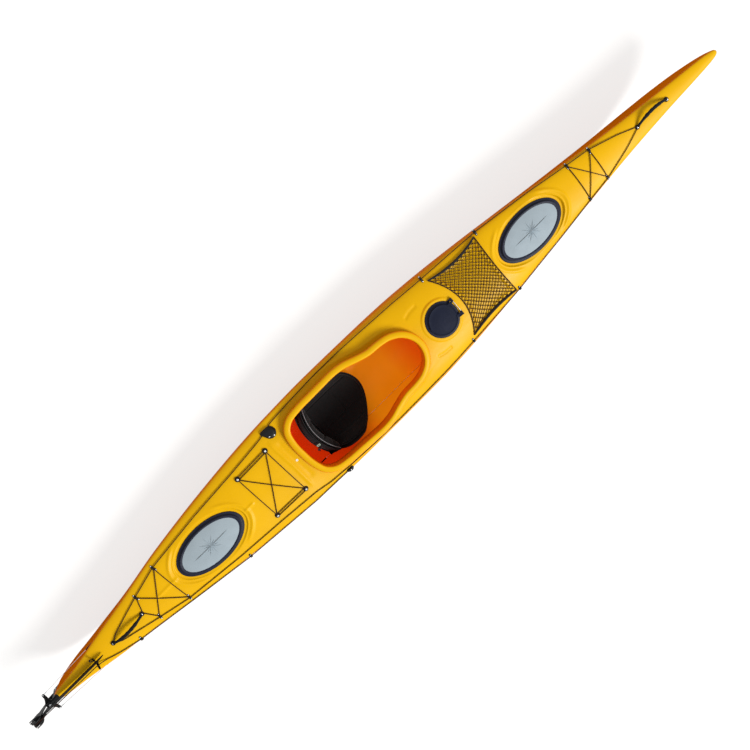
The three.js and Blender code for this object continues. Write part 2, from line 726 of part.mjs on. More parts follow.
// Carry handles stand on the centreline, each with its length, rise and sideways bow
const handleShares = { stern: [-0.8312, -0.7477], bow: [0.7577, 0.8458] };
const [sternHandleX, sternHandleEnd] = handleShares.stern.map((share) => share * halfLength);
const [bowHandleX, bowHandleEnd] = handleShares.bow.map((share) => share * halfLength);
const lineEndGap = 7;
const lineEndAcross = 5;
const bungeeEndGap = 8;

// Deck lines, port side: from the stern handle to the bow handle through the deck eyes
const shift = ([x, y], out) => [x, y + out];
const eye = (number) => eyePlaces[`deck_eye_${number}`];
const sideLineShares = [
  [-0.5204, 0.6093], [-0.4012, 0.6887], [-0.3077, 0.7682], [-0.2692, 0.8477], [-0.2135, 0.8874],
  [-0.1323, 0.9172], [-0.0612, 0.9172], [0, 0.9007], [0.0962, 0.8675],
];
const lineShares = {
  stern: [-0.8154, 0.0927], net: [0.2577, 0.7715], fore: [0.4808, 0.5563], bow: [0.7115, 0.1656],
};
const lineAt = (name) => routeOf([lineShares[name]])[0];
const deckLineRoute = [
  [sternHandleX + lineEndGap, lineEndAcross], lineAt('stern'), shift(eye(1), lineOutboard),
  shift(eye(2), lineOutboard), ...routeOf(sideLineShares), eyePlaces.net_eye_aft, lineAt('net'),
  eyePlaces.net_eye_fore, lineAt('fore'), shift(eye(5), lineOutboard), shift(eye(6), lineOutboard),
  lineAt('bow'), [bowHandleX - lineEndGap, lineEndAcross],
];
const mirror = (route, sign) => route.map(([x, y]) => [x, sign * y]);

function bungeePieces() {
  const e = (number, sign, inset = -lineOutboard) => {
    const [x, y] = shift(eye(number), inset);
    return [x, sign * y];
  };
  const sternStart = [sternHandleEnd + bungeeEndGap, 0];
  return {
    stern_bungee: [
      [sternStart, e(1, 1), e(2, -1)], [sternStart, e(1, -1), e(2, 1)], [e(2, 1), e(2, -1)],
    ],
    rear_deck_bungee: [
      [e(3, 1), e(4, -1)], [e(3, -1), e(4, 1)], [e(3, 1), e(3, -1)], [e(4, 1), e(4, -1)],
      [e(3, 1), e(4, 1)], [e(3, -1), e(4, -1)],
    ],
    bow_bungee: [
      [e(5, 1), e(6, -1)], [e(5, -1), e(6, 1)], [e(5, 1), e(5, -1)], [e(6, 1), e(6, -1)],
    ],
  };
}
const bungees = Object.entries(bungeePieces()).map(([name, strands]) => ({
  name,
  solid: join(strands.map((corners) => strand(corners, cordRadius))),
  grown: join(strands.map(corridor)),
}));
const deckLines = [1, -1].map((sign) => {
  const route = mirror(deckLineRoute, sign);
  return { name: `deck_line_${side(sign)}`, solid: strand(route, cordRadius), grown: corridor(route) };
});

// Deck net: a diamond mesh hung in a thicker edge cord
const netRows = 5;
const netColumns = 8;
const netCord = 2.4;
const netKnot = 2.6;
const netHem = 11;
const netRise = 3;

function netGeometry() {
  const points = [];
  const faces = [];
  const knots = new Map();
  const lastRow = 2 * netRows;
  const lastColumn = 2 * netColumns;
  const lift = (x, y, half) => at(x, y, deckHeight(x, y) + netRise + half);
  // Each knot is a small square standing on its corner, stretched outwards where it lies in the hem
  function knot(i, j) {
    const key = `${i} ${j}`;
    if (!knots.has(key)) {
      const [x, y] = netPoint(i / lastRow, 2 * j / lastColumn - 1);
      const first = points.length;
      const east = i === lastRow ? netHem : netKnot;
      const west = i === 0 ? netHem : netKnot;
      const north = j === lastColumn ? netHem : netKnot;
      const south = j === 0 ? netHem : netKnot;
      for (const half of [netCord / 2, -netCord / 2]) {
        points.push(lift(x + east, y, half), lift(x, y + north, half));
        points.push(lift(x - west, y, half), lift(x, y - south, half));
      }
      knots.set(key, { first, open: new Set([0, 1, 2, 3]) });
    }
    return knots.get(key);
  }
  // A cord leaves one knot by one of its sides and enters the next by another
  function cord(from, to, leave, enter = (leave + 2) % 4) {
    const a = from.first + leave;
    const b = from.first + (leave + 1) % 4;
    const c = to.first + enter;
    const d = to.first + (enter + 1) % 4;
    const under = 4;
    faces.push([a, d, c], [a, c, b]);
    faces.push([a + under, c + under, d + under], [a + under, b + under, c + under]);
    faces.push([a, a + under, d + under], [a, d + under, d]);
    faces.push([b, c, c + under], [b, c + under, b + under]);
    from.open.delete(leave);
    to.open.delete(enter);
  }
  for (let i = 1; i < lastRow; i += 2) {
    for (let j = 1; j < lastColumn; j += 2) {
      const middle = knot(i, j);
      cord(middle, knot(i + 1, j + 1), 0);
      cord(middle, knot(i - 1, j + 1), 1);
      cord(middle, knot(i - 1, j - 1), 2);
      cord(middle, knot(i + 1, j - 1), 3);
    }
  }
  for (let j = 0; j < lastColumn; j += 2) {
    cord(knot(0, j), knot(0, j + 2), 1, 2);
    cord(knot(lastRow, j), knot(lastRow, j + 2), 0, 3);
  }
  for (let i = 0; i < lastRow; i += 2) {
    cord(knot(i, 0), knot(i + 2, 0), 3, 2);
    cord(knot(i, lastColumn), knot(i + 2, lastColumn), 0, 1);
  }
  for (const { first, open } of knots.values()) {
    faces.push([first, first + 1, first + 2], [first, first + 2, first + 3]);
    faces.push([first + 4, first + 6, first + 5], [first + 4, first + 7, first + 6]);
    for (const edge of open) {
      const a = first + edge;
      const b = first + (edge + 1) % 4;
      faces.push([a, b + 4, b], [a, a + 4, b + 4]);
    }
  }
  return closedGeometry(points, faces);
}
addPiece(boat, 'deck_net', netGeometry(), finishes.cord);

// A deck eye: a moulded hood over the cords on a plate with a screw pad at each end
const eyeLength = 42;
const eyeWidth = 13;
const eyeHeight = 12;
const eyePad = 1.6;
const eyeHood = 13;
const eyeHoodTop = 7;
const eyeSink = 6;
const eyeArch = 7.4;
const eyeArchTop = 8.2;

function eyeSolid(x, y, heading) {
  const half = eyeLength / 2;
  const outline = [
    [-half, -eyeSink], [-eyeArch, -eyeSink], [-eyeArch, eyeArchTop - eyePad],
    [-eyeArch + eyePad, eyeArchTop], [eyeArch - eyePad, eyeArchTop],
    [eyeArch, eyeArchTop - eyePad], [eyeArch, -eyeSink], [half, -eyeSink],
    [half, eyePad], [eyeHood, eyePad], [eyeHoodTop, eyeHeight], [-eyeHoodTop, eyeHeight],
    [-eyeHood, eyePad], [-half, eyePad],
  ];
  const geometry = uprightPlate(outline, -eyeWidth / 2, eyeWidth / 2);
  // The saddle's length lies across the cord, and its screws follow the deck's normal
  const up = deckNormal(x, y);
  const along = at(Math.cos(heading), Math.sin(heading), 0);
  along.addScaledVector(up, -along.dot(up)).normalize();
  const across = up.clone().cross(along);
  const frame = new THREE.Matrix4().makeBasis(across, along.clone().negate(), up);
  frame.setPosition(x, y, deckHeight(x, y));
  return toSolid(geometry.applyMatrix4(frame));
}

const nearCords = [...bungees, ...deckLines].map((cord) => cord.grown);
for (const [name, place] of Object.entries(eyePlaces)) {
  for (const sign of [1, -1]) {
    const [x, y] = [place[0], sign * place[1]];
    const ahead = sign * (hullAt(x + eyeLength).breadth - hullAt(x - eyeLength).breadth) / (2 * eyeLength);
    let solid = eyeSolid(x, y, Math.atan(ahead)).subtract(grownHull);
    for (const cord of nearCords) solid = solid.subtract(cord);
    addPiece(boat, `${name}_${side(sign)}`, toGeometry(solid), finishes.dark);
  }
}

// Carry handles: a soft arched grip moulded to a pad and screw post at each end
const handleGrip = 8;
const handlePad = 14;
const handlePadHeight = 11;
const handlePadSides = 12;
const sternHandleRise = 30;
const bowHandleRise = 26;
const bowHandleSway = 20;
const handles = {
  stern_carry_handle: { from: sternHandleX, to: sternHandleEnd, rise: sternHandleRise, sway: 0 },
  bow_carry_handle: { from: bowHandleX, to: bowHandleEnd, rise: bowHandleRise, sway: bowHandleSway },
};
const handleSteps = 7;
const handleArchShare = 0.7;
function handleSolid({ from, to, rise, sway }, grow) {
  const path = [];
  for (let i = 0; i <= handleSteps; i += 1) {
    const t = i / handleSteps;
    const arch = Math.sin(Math.PI * t) ** handleArchShare;
    const x = THREE.MathUtils.lerp(from, to, t);
    path.push(at(x, sway * arch, deckHeight(x, 0) + handlePadHeight / 2 + rise * arch));
  }
  const pads = [from, to].map((x) => {
    const reach = handlePad + grow;
    const pad = new THREE.CylinderGeometry(reach, reach, handlePadHeight + eyeSink, handlePadSides)
      .rotateX(Math.PI / 2);
    return toSolid(moved(pad, x, 0, deckHeight(x, 0) + (handlePadHeight - eyeSink) / 2));
  });
  const grip = toSolid(tube(path, handleGrip + grow, cordSides, handleSteps));
  return join([grip, ...pads]).subtract(grownHull);
}
for (const [name, handle] of Object.entries(handles)) {
  addPiece(boat, name, toGeometry(handleSolid(handle, 0)), finishes.dark);
}
const handleGrown = join(Object.values(handles).map((handle) => handleSolid(handle, seatGap)));
for (const { name, solid } of [...bungees, ...deckLines]) {
  addPiece(boat, name, toGeometry(solid.subtract(handleGrown)), finishes.cord);
}

// Seat: a dished pan on two skids that stand on the hull bottom, with a quilted pad
const seatBackGap = 82;
const seatLength = 415;
const seatHalfShare = 0.68;
const seatBack = cockpitBack + seatBackGap;
const seatFront = seatBack + seatLength;
const seatHalf = seatHalfShare * halfBeam;
const seatFrontRound = 135;
const seatFloor = 42;
const seatSideRise = 85;
const hipRise = 112;
const hipShares = { back: 0.22, power: 0.6 };
const seatFrontRise = 34;
const seatBackRise = 60;
const panWall = 4;
const panFlareShare = 1.2;
const skidAcross = 95;
const skidWidth = 26;
const skidInset = 60;
const seatCells = 8;
const seatFrontShare = 0.55;
const seatBackShare = 0.3;
const skidShare = 0.4;

// Outline and dish of the pan: u runs from back to front, v from starboard to port
function seatPlace(u, v, inset) {
  const half = seatHalf - inset;
  const front = seatFront - inset - seatFrontRound * v * v;
  return [THREE.MathUtils.lerp(seatBack + inset, front, u), v * half];
}
function seatHeight(u, v) {
  const edge = (share) => Math.max(0, share) ** 2;
  const along = Math.max(0, (u - hipShares.back) / (1 - hipShares.back));
  const hip = Math.abs(Math.sin(Math.PI * along)) ** hipShares.power;
  return seatFloor + seatSideRise * Math.abs(v) ** 3 + hipRise * hip * v ** 4
    + seatFrontRise * edge((u - seatFrontShare) / (1 - seatFrontShare))
    + seatBackRise * edge((seatBackShare - u) / seatBackShare);
}

function sheetGeometry(cells, low, high) {
  const points = [];
  const faces = [];
  const row = cells + 1;
  for (const surface of [high, low]) {
    for (let i = 0; i <= cells; i += 1) {
      for (let j = 0; j <= cells; j += 1) points.push(surface(i / cells, 2 * j / cells - 1));
    }
  }
  const index = (i, j) => i * row + j;
  const under = row * row;
  for (let i = 0; i < cells; i += 1) {
    for (let j = 0; j < cells; j += 1) {
      const [a, b, c, d] = [index(i, j), index(i + 1, j), index(i + 1, j + 1), index(i, j + 1)];
      const [e, f, g, h] = [a, b, c, d].map((corner) => corner + under);
      faces.push([a, b, c], [a, c, d], [e, g, f], [e, h, g]);
    }
  }
  const rim = [];
  for (let i = 0; i < cells; i += 1) rim.push(index(i, 0));
  for (let j = 0; j < cells; j += 1) rim.push(index(cells, j));
  for (let i = cells; i > 0; i -= 1) rim.push(index(i, cells));
  for (let j = cells; j > 0; j -= 1) rim.push(index(0, j));
  rim.forEach((a, k) => {
    const b = rim[(k + 1) % rim.length];
    faces.push([a, a + under, b + under], [a, b + under, b]);
  });
  return closedGeometry(points, faces);
}

const backPivotAhead = 22;
const backPivotX = seatBack + backPivotAhead;
const backPivotZ = 126;
const backPivotRadius = 4;
const backLugShare = 0.4238;
const backLugAcross = backLugShare * halfBeam;
const backLugWidth = 8;
const backLugRound = 11;

// The pan's underside drops further at its steep sides, so that the wall keeps its thickness
const panSurface = (lift) => (u, v) => {
  const [x, y] = seatPlace(u, v, 0);
  const drop = Math.min(lift, 0) * panFlareShare * Math.abs(v) ** 3;
  return at(x, y, seatHeight(u, v) + lift + drop);
};

function seatPan() {
  const pan = toSolid(sheetGeometry(seatCells, panSurface(-panWall), panSurface(0)));
  const above = toSolid(
    sheetGeometry(seatCells, panSurface(-panWall / 2), panSurface(seatSideRise)));
  const skidTop = seatHeight(skidShare, (skidAcross + skidWidth / 2) / seatHalf);
  const skids = [1, -1].map((sign) => toSolid(box(
    [seatBack + 2 * skidInset, sign * skidAcross - skidWidth / 2, 0],
    [seatFront - skidInset - seatFrontRound / 3, sign * skidAcross + skidWidth / 2, skidTop],
  )).subtract(above));
  const lugs = [1, -1].map((sign) => {
    const low = sign * backLugAcross - backLugWidth / 2;
    const high = low + backLugWidth;
    const foot = seatBackRise + seatFloor;
    const outline = [
      [backPivotX + backLugRound * 2, foot - overrun], [backPivotX + backLugRound, backPivotZ],
      ...arcPoints([backPivotX, backPivotZ], backLugRound, 0, 180, 6),
      [backPivotX - backLugRound, foot - panWall],
    ];
    const hole = toSolid(crossRod(
      backPivotX, backPivotZ, backPivotRadius + seatGap,
      low - backLugWidth, high + backLugWidth, pinSides));
    return toSolid(uprightPlate(outline.slice().reverse(), low, high)).subtract(hole);
  });
  return join([pan, ...skids, ...lugs]).intersect(insideOfHull);
}
addPiece(boat, 'seat_pan', toGeometry(seatPan()), finishes.shell);

const padInset = 26;
const padThick = 16;
const padChannels = 3;
const padChannelDepth = 5;
const padChannelSharpness = 8;
const padShares = { back: 0.16, front: 0.97, edge: 0.25 };
// Height of a cushion's edge as a share of its thickness, rising inwards from a low border
function crownOf(u, v, edge) {
  const inwards = Math.min(u, 1 - u, (1 - Math.abs(v)) / 2);
  return Math.sqrt(Math.min(1, 4 * inwards + edge));
}
function seatPad() {
  const surface = (bottom) => (u, v) => {
    const along = THREE.MathUtils.lerp(padShares.back, padShares.front, u);
    const across = v * (1 - padInset / seatHalf);
    const [x, y] = seatPlace(along, across, 0);
    const crown = crownOf(u, v, padShares.edge);
    const channel = padChannelDepth * Math.cos(Math.PI * padChannels * (v + 1)) ** padChannelSharpness;
    const base = seatHeight(along, across);
    if (bottom) return at(x, y, base - panWall / 2);
    return at(x, y, base + panWall + padThick * crown - channel * crown);
  };
  const pad = toSolid(sheetGeometry(seatCells + 2, surface(true), surface(false)));
  const room = sheetGeometry(seatCells, panSurface(-4 * panWall), panSurface(2 * seatGap));
  return pad.subtract(toSolid(room));
}
addPiece(boat, 'seat_pad', toGeometry(seatPad()), finishes.cloth);

// Backrest: a curved band that tilts on two stub pins in the pan's lugs, padded in front
const backHeight = 104;
const backLow = 136;
const backHalfShare = 0.6;
const backHalf = backHalfShare * halfBeam;
const backDeep = 55;
const backWall = 5;
const backPadWall = 34;
const backEar = 7;
const backCells = 6;
const backLeanShare = 0.14;
const backCornerShare = 0.22;
const backEdgeShare = 0.2;

function backSurface(offset, inset) {
  return (u, v) => {
    const half = backHalf - inset;
    const height = backLow + inset + u * (backHeight - 2 * inset) * (1 - backCornerShare * v ** 4);
    const x = backPivotX - backLeanShare * (height - backPivotZ) + backDeep * v * v + offset;
    return at(x, v * half, height);
  };
}

function backrestShell() {
  const band = toSolid(sheetGeometry(backCells, backSurface(-backWall, 0), backSurface(0, 0)));
  const ears = [1, -1].map((sign) => {
    const inner = backLugAcross - backLugWidth / 2 - runningGap - backEar;
    const [low, high] = sign > 0 ? [inner, inner + backEar] : [-inner - backEar, -inner];
    const reach = backDeep * (inner / backHalf) ** 2;
    const outline = [
      ...arcPoints([backPivotX, backPivotZ], backLugRound - 2 * runningGap, 180, 360, 6),
      [backPivotX + reach - backWall / 2, backLow + backHeight / 3],
      [backPivotX + reach - backWall * 2, backLow + backHeight / 3],
      [backPivotX - backWall, backLow],
    ];
    const ear = toSolid(uprightPlate(outline, low, high));
    const reachOut = runningGap + backLugWidth;
    const [from, to] = sign > 0 ? [low, high + reachOut] : [low - reachOut, high];
    return ear.add(toSolid(crossRod(backPivotX, backPivotZ, backPivotRadius, from, to, pinSides)));
  });
  return join([band, ...ears]);
}
addPiece(boat, 'backrest_shell', toGeometry(backrestShell()), finishes.shell);

function backrestPad() {
  const front = (u, v) => {
    const crown = crownOf(u, v, backEdgeShare);
    return backSurface(2 * seatGap + backPadWall * crown, backEar * 3)(u, v);
  };
  return sheetGeometry(backCells, backSurface(2 * seatGap, backEar * 3), front);
}
addPiece(boat, 'backrest_pad', backrestPad(), finishes.cloth);

// Footrests: a rail on stand-offs inside each side of the hull, with a sliding pedal
const railAhead = 104;
const railLength = 340;
const railBack = cockpitFront + railAhead;
const railFront = railBack + railLength;
const railWide = 10;
const railTall = 26;
const railFootLength = 30;
const pedalAhead = 140;
const pedalAt = railBack + pedalAhead;
const carriageLength = 60;
const carriageWall = 5;
const pedalWideShare = 0.2583;
const pedalTallShare = 0.3478;
const pedalWide = pedalWideShare * halfBeam;
const pedalTall = pedalTallShare * hullDepth;
const pedalWall = 7;
const pedalRibs = 5;
const pedalRibDepth = 3;
const pedalRibShares = { from: 0.92, to: 0.12, brace: 0.7 };

for (const sign of [1, -1]) {
  const bar = box(
    [railBack, railAcross - railWide / 2, railHeight - railTall / 2],
    [railFront, railAcross + railWide / 2, railHeight + railTall / 2]);
  const feet = [railBack, railFront - railFootLength].map((x) => toSolid(box(
    [x, railAcross, railHeight - railTall / 3],
    [x + railFootLength, halfBeam, railHeight + railTall / 3])));
  const rail = join([toSolid(bar), ...feet]).intersect(insideOfHull);
  const mirrored = (solid) => (sign > 0 ? solid : solid.mirror([0, 1, 0]));
  addPiece(boat, `footrest_rail_${side(sign)}`, toGeometry(mirrored(rail)), finishes.dark);

  const gap = runningGap;
  const inner = railAcross - railWide / 2 - gap;
  const carriage = toSolid(box(
    [pedalAt, inner - carriageWall, railHeight - railTall / 2 - gap - carriageWall],
    [pedalAt + carriageLength, railAcross + railWide / 2 + gap + carriageWall,
      railHeight + railTall / 2 + gap + carriageWall]));
  const channel = toSolid(box(
    [pedalAt - overrun, inner, railHeight - railTall / 2 - gap],
    [pedalAt + carriageLength + overrun, railAcross + railWide / 2 + gap,
      railHeight + railTall / 2 + gap]));
  const slot = toSolid(box(
    [pedalAt - overrun, railAcross, railHeight - railTall / 3 - gap],
    [pedalAt + carriageLength + overrun, halfBeam, railHeight + railTall / 3 + gap]));
  const plateLow = railHeight - pedalTall / 2;
  const plate = toSolid(box(
    [pedalAt, inner - pedalWide, plateLow],
    [pedalAt + pedalWall, inner - carriageWall / 2, plateLow + pedalTall]));
  const ribs = Array.from({ length: pedalRibs }, (_, i) => {
    const z = plateLow + pedalTall * (i + 0.5) / pedalRibs;
    return toSolid(box(
      [pedalAt - pedalRibDepth, inner - pedalWide * pedalRibShares.from, z - pedalRibDepth],
      [pedalAt + pedalWall / 2, inner - pedalWide * pedalRibShares.to, z + pedalRibDepth]));
  });
  const brace = toSolid(flatPlate([
    [pedalAt + pedalWall / 2, inner - pedalWide * pedalRibShares.brace],
    [pedalAt + carriageLength, inner - carriageWall / 2],
    [pedalAt + pedalWall / 2, inner - carriageWall / 2],
  ], railHeight - pedalWall / 2, railHeight + pedalWall / 2));
  const eyeLug = toSolid(box(
    [pedalAt, railAcross + railWide / 2 + gap, pedalCableHeight - sleeveRadius],
    [pedalAt + pedalWall, pedalCableAcross + 2 * cableRadius, railHeight - railTall / 2]));
  const pedal = join([carriage.subtract(channel).subtract(slot), plate, ...ribs, brace, eyeLug]);
  addPiece(boat, `foot_pedal_${side(sign)}`, toGeometry(mirrored(pedal)), finishes.dark);
}

// Deck line cleat: a rounded teardrop body on the port deck edge, open where the line runs under it
const cleatShare = -0.2838;
const cleatAcrossShare = 0.7483;
const cleatX = cleatShare * halfLength;
const cleatAcross = cleatAcrossShare * halfBeam;
const cleatRadius = 38;
const cleatTail = 52;
const cleatHeight = 20;
const cleatTurn = 0.35;
const cleatShares = { base: 0.45, cap: 0.8 };
const cleatArcs = { head: [-60, 60], tail: [100, 260] };
function lineCleat() {
  const outline = [
    ...arcPoints([0, 0], cleatRadius, ...cleatArcs.head, 6),
    ...arcPoints([-cleatTail + cleatRadius / 3, 0], cleatRadius / 3, ...cleatArcs.tail, 4),
  ];
  const base = flatPlate(outline, -3 * eyeSink, cleatHeight * cleatShares.base);
  const inner = outline.map(([x, y]) => [x * cleatShares.cap, y * cleatShares.cap]);
  const cap = flatPlate(inner, 0, cleatHeight);
  const body = join([toSolid(base), toSolid(cap)]);
  const up = deckNormal(cleatX, cleatAcross);
  const along = at(Math.cos(cleatTurn), Math.sin(cleatTurn), 0);
  along.addScaledVector(up, -along.dot(up)).normalize();
  const frame = new THREE.Matrix4().makeBasis(along, up.clone().cross(along), up);
  frame.setPosition(cleatX, cleatAcross, deckHeight(cleatX, cleatAcross));
  const placed = toSolid(toGeometry(body).applyMatrix4(frame));
  return placed.subtract(grownHull).subtract(deckLines[0].grown);
}
addPiece(boat, 'line_cleat', toGeometry(lineCleat()), finishes.dark);

// Stern bracket: wraps the stern and carries the upright rudder pin between two lugs
const pinBehind = 40;
const pinX = -halfLength - pinBehind;
const sternTopShare = 0.8261;
const sternTop = sternTopShare * hullDepth;
const pinRadius = 4;
const boreSides = 16;
const pinHead = 7;
const hubBelow = 23;
const hubAbove = 14;
const lugBelow = 33;
const lugAbove = 22;
const pinAbove = 27;
const hubLow = sternTop - hubBelow;
const hubHigh = sternTop + hubAbove;
const lugLow = sternTop - lugBelow;
const lugHigh = sternTop + lugAbove;
const pinTop = sternTop + pinAbove;
const lugHalf = 16;
const lugArc = [100, 260];
const bracketThroat = 30;
const bracketReach = 40;
const bracketFront = -halfLength + bracketReach;
const bracketFootShare = 0.623;
const bracketFoot = bracketFootShare * hullDepth;

function pinBore() {
  const bore = new THREE.CylinderGeometry(pinRadius + seatGap, pinRadius + seatGap, hullDepth, boreSides);
  return toSolid(moved(bore.rotateX(Math.PI / 2), pinX, 0, sternTop));
}

function sternBracket() {
  const plan = [
    [bracketFront, lugHalf + hullWall], [pinX, lugHalf], ...arcPoints([pinX, 0], lugHalf, ...lugArc, 8),
    [pinX, -lugHalf], [bracketFront, -lugHalf - hullWall],
  ].reverse();
  const block = toSolid(flatPlate([
    [bracketFront, lugHalf + hullWall], [pinX + bracketThroat, lugHalf],
    [pinX + bracketThroat, -lugHalf], [bracketFront, -lugHalf - hullWall],
  ].reverse(), bracketFoot, lugHigh));
  const upper = toSolid(flatPlate(plan, hubHigh + seatGap, lugHigh));
  const lower = toSolid(flatPlate(plan, lugLow, hubLow - seatGap));
  return join([block, upper, lower]).subtract(pinBore()).subtract(grownHull);
}
addPiece(boat, 'stern_bracket', toGeometry(sternBracket()), finishes.dark);

const pinProfile = [
  [0, lugLow - pinHead / 2], [pinRadius, lugLow - pinHead / 2], [pinRadius, lugHigh + seatGap],
  [pinHead, lugHigh + seatGap], [pinHead, pinTop - seatGap], [pinHead / 2, pinTop], [0, pinTop],
].map(([r, z]) => new THREE.Vector2(r, z));
addPiece(boat, 'rudder_pin',
  moved(new THREE.LatheGeometry(pinProfile, pinSides).rotateX(Math.PI / 2), pinX, 0, 0), finishes.steel);

// Rudder head: hub, swept yoke arms, and two cheeks that hold the blade's drum
const pivotBehind = 88;
const pivotX = pinX - pivotBehind;
const chockAhead = 339;
const chockX = pinX + chockAhead;
const bladeLift = 3.28;
const bladeLow = deckHeight(chockX, 0) + bladeLift;
const pivotLift = 20;
const pivotZ = bladeLow + pivotLift;
const drumRadius = 33;
const drumWidth = 15;
const drumGroove = 4;
const drumSides = 20;
const cheekRadius = 38;
const cheekWall = 4.5;
const cheekArc = [20, 290];
const blockRadius = 13;
const boltRadius = 5;
const boltHead = 10;
const boltHeadWall = 5;
const yokeHalf = 62;
const yokeTipAhead = 7;
const yokeTipX = pinX + yokeTipAhead;
const yokeWall = 6;
const yokeUnder = 1;
const yokeZ = sternTop - yokeUnder;
const yokeTipRadius = 7;
const yokeShares = { root: 3.4, knee: 1.8, floor: 2.6, tip: 0.8 };

function rudderHead() {
  const core = new THREE.CylinderGeometry(blockRadius, blockRadius, hubHigh - hubLow, boreSides);
  const hub = toSolid(moved(core.rotateX(Math.PI / 2), pinX, 0, (hubLow + hubHigh) / 2));
  const cheekInner = drumWidth / 2 + runningGap;
  const cheek = (sign) => {
    const [low, high] = [sign * cheekInner, sign * (cheekInner + cheekWall)].sort((a, b) => a - b);
    const outline = [
      [pinX - blockRadius / 2, hubLow], [pinX - blockRadius / 2, hubHigh],
      [pinX - lugHalf - 2 * runningGap, hubHigh],
      ...arcPoints([pivotX, pivotZ], cheekRadius, ...cheekArc, 12),
    ];
    return toSolid(uprightPlate(outline, low, high));
  };
  // Yoke arms sweep forward from the cheeks to the cable eyes
  const arm = (sign) => {
    const tipAcross = yokeHalf + yokeTipRadius * yokeShares.tip;
    const outline = [
      [pinX - yokeShares.root * blockRadius, sign * cheekInner],
      [pinX - yokeShares.knee * blockRadius, sign * (cheekInner + 2 * cheekWall)],
      [yokeTipX - yokeTipRadius, sign * (yokeHalf - yokeTipRadius)],
      [yokeTipX - yokeTipRadius / 2, sign * tipAcross], [yokeTipX + yokeTipRadius / 2, sign * tipAcross],
      [yokeTipX + yokeTipRadius, sign * yokeHalf],
      [pinX + blockRadius / 2, sign * (blockRadius - cheekWall / 2)],
      [pinX - blockRadius / 2, sign * cheekInner],
    ];
    if (sign > 0) outline.reverse();
    return toSolid(flatPlate(outline, yokeZ - yokeWall / 2, yokeZ + yokeWall / 2));
  };
  const floor = toSolid(box(
    [pinX - yokeShares.floor * blockRadius, -cheekInner - cheekWall / 2, hubLow],
    [pinX - blockRadius / 2, cheekInner + cheekWall / 2, yokeZ]));
  const boltBore = crossRod(pivotX, pivotZ, boltRadius + seatGap, -overrun, overrun, boreSides);
  return join([hub, cheek(1), cheek(-1), arm(1), arm(-1), floor])
    .subtract(pinBore())
    .subtract(toSolid(boltBore));
}
addPiece(boat, 'rudder_head', toGeometry(rudderHead()), finishes.dark);

// Blade: a slim foil rooted in a grooved drum, lying forward over the deck at rest
const bladeReach = 402;
const bladeTipX = pinX + bladeReach;
const bladeWall = 5;
const bladeChord = 42;
const bladeTipChord = 16;
const bladeRootShare = 0.8;
const bladeShares = { root: 0.9, shoulder: 0.7, upper: 0.8, tip: 1.4 };
const foilShares = { low: 0.25, high: 0.6 };
const grooveShares = { edge: 0.6, floor: 0.9 };
function rudderBlade() {
  const half = bladeWall / 2;
  const straight = THREE.MathUtils.lerp(pivotX, bladeTipX, bladeRootShare);
  const shoulder = THREE.MathUtils.lerp(straight, bladeTipX, bladeShares.shoulder);
  const stations = [
    [pivotX, bladeLow + bladeWall, bladeLow + bladeChord * bladeShares.root],
    [pinX, bladeLow, bladeLow + bladeChord], [straight, bladeLow, bladeLow + bladeChord],
    [shoulder, bladeLow + bladeWall, bladeLow + bladeChord * bladeShares.upper],
    [bladeTipX, bladeLow + bladeTipChord / 2, bladeLow + bladeTipChord * bladeShares.tip],
  ];
  const rings = stations.map(([x, low, high], i) => {
    const thick = i === stations.length - 1 ? half / 2 : half;
    const lower = THREE.MathUtils.lerp(low, high, foilShares.low);
    const upper = THREE.MathUtils.lerp(low, high, foilShares.high);
    return [
      at(x, 0, low), at(x, thick, lower), at(x, thick, upper), at(x, thick / 4, high),
      at(x, -thick / 4, high), at(x, -thick, upper), at(x, -thick, lower),
    ];
  });
  const w = drumWidth / 2;
  const profile = [
    [boltRadius + seatGap, -w], [drumRadius, -w], [drumRadius, -w + bladeWall * grooveShares.edge],
    [drumRadius - drumGroove, -w + bladeWall * grooveShares.floor],
    [drumRadius - drumGroove, w - bladeWall * grooveShares.floor],
    [drumRadius, w - bladeWall * grooveShares.edge], [drumRadius, w],
    [boltRadius + seatGap, w], [boltRadius + seatGap, -w],
  ].map(([r, z]) => new THREE.Vector2(r, z));
  const drum = toSolid(moved(new THREE.LatheGeometry(profile, drumSides), pivotX, 0, pivotZ));
  const bore = toSolid(crossRod(pivotX, pivotZ, boltRadius + seatGap, -overrun, overrun, drumSides));
  return toSolid(loftGeometry(rings)).subtract(bore).add(drum);
}
addPiece(boat, 'rudder_blade', toGeometry(rudderBlade()), finishes.dark);

const boltHalf = drumWidth / 2 + runningGap + cheekWall + seatGap;
const boltProfile = [
  [0, -boltHalf - boltHeadWall], [boltHead, -boltHalf - boltHeadWall], [boltHead, -boltHalf],
  [boltRadius, -boltHalf], [boltRadius, boltHalf], [boltHead, boltHalf],
  [boltHead, boltHalf + boltHeadWall], [0, boltHalf + boltHeadWall],
].map(([r, z]) => new THREE.Vector2(r, z));
addPiece(boat, 'blade_pivot_bolt',
  moved(new THREE.LatheGeometry(boltProfile, pinSides), pivotX, 0, pivotZ), finishes.steel);

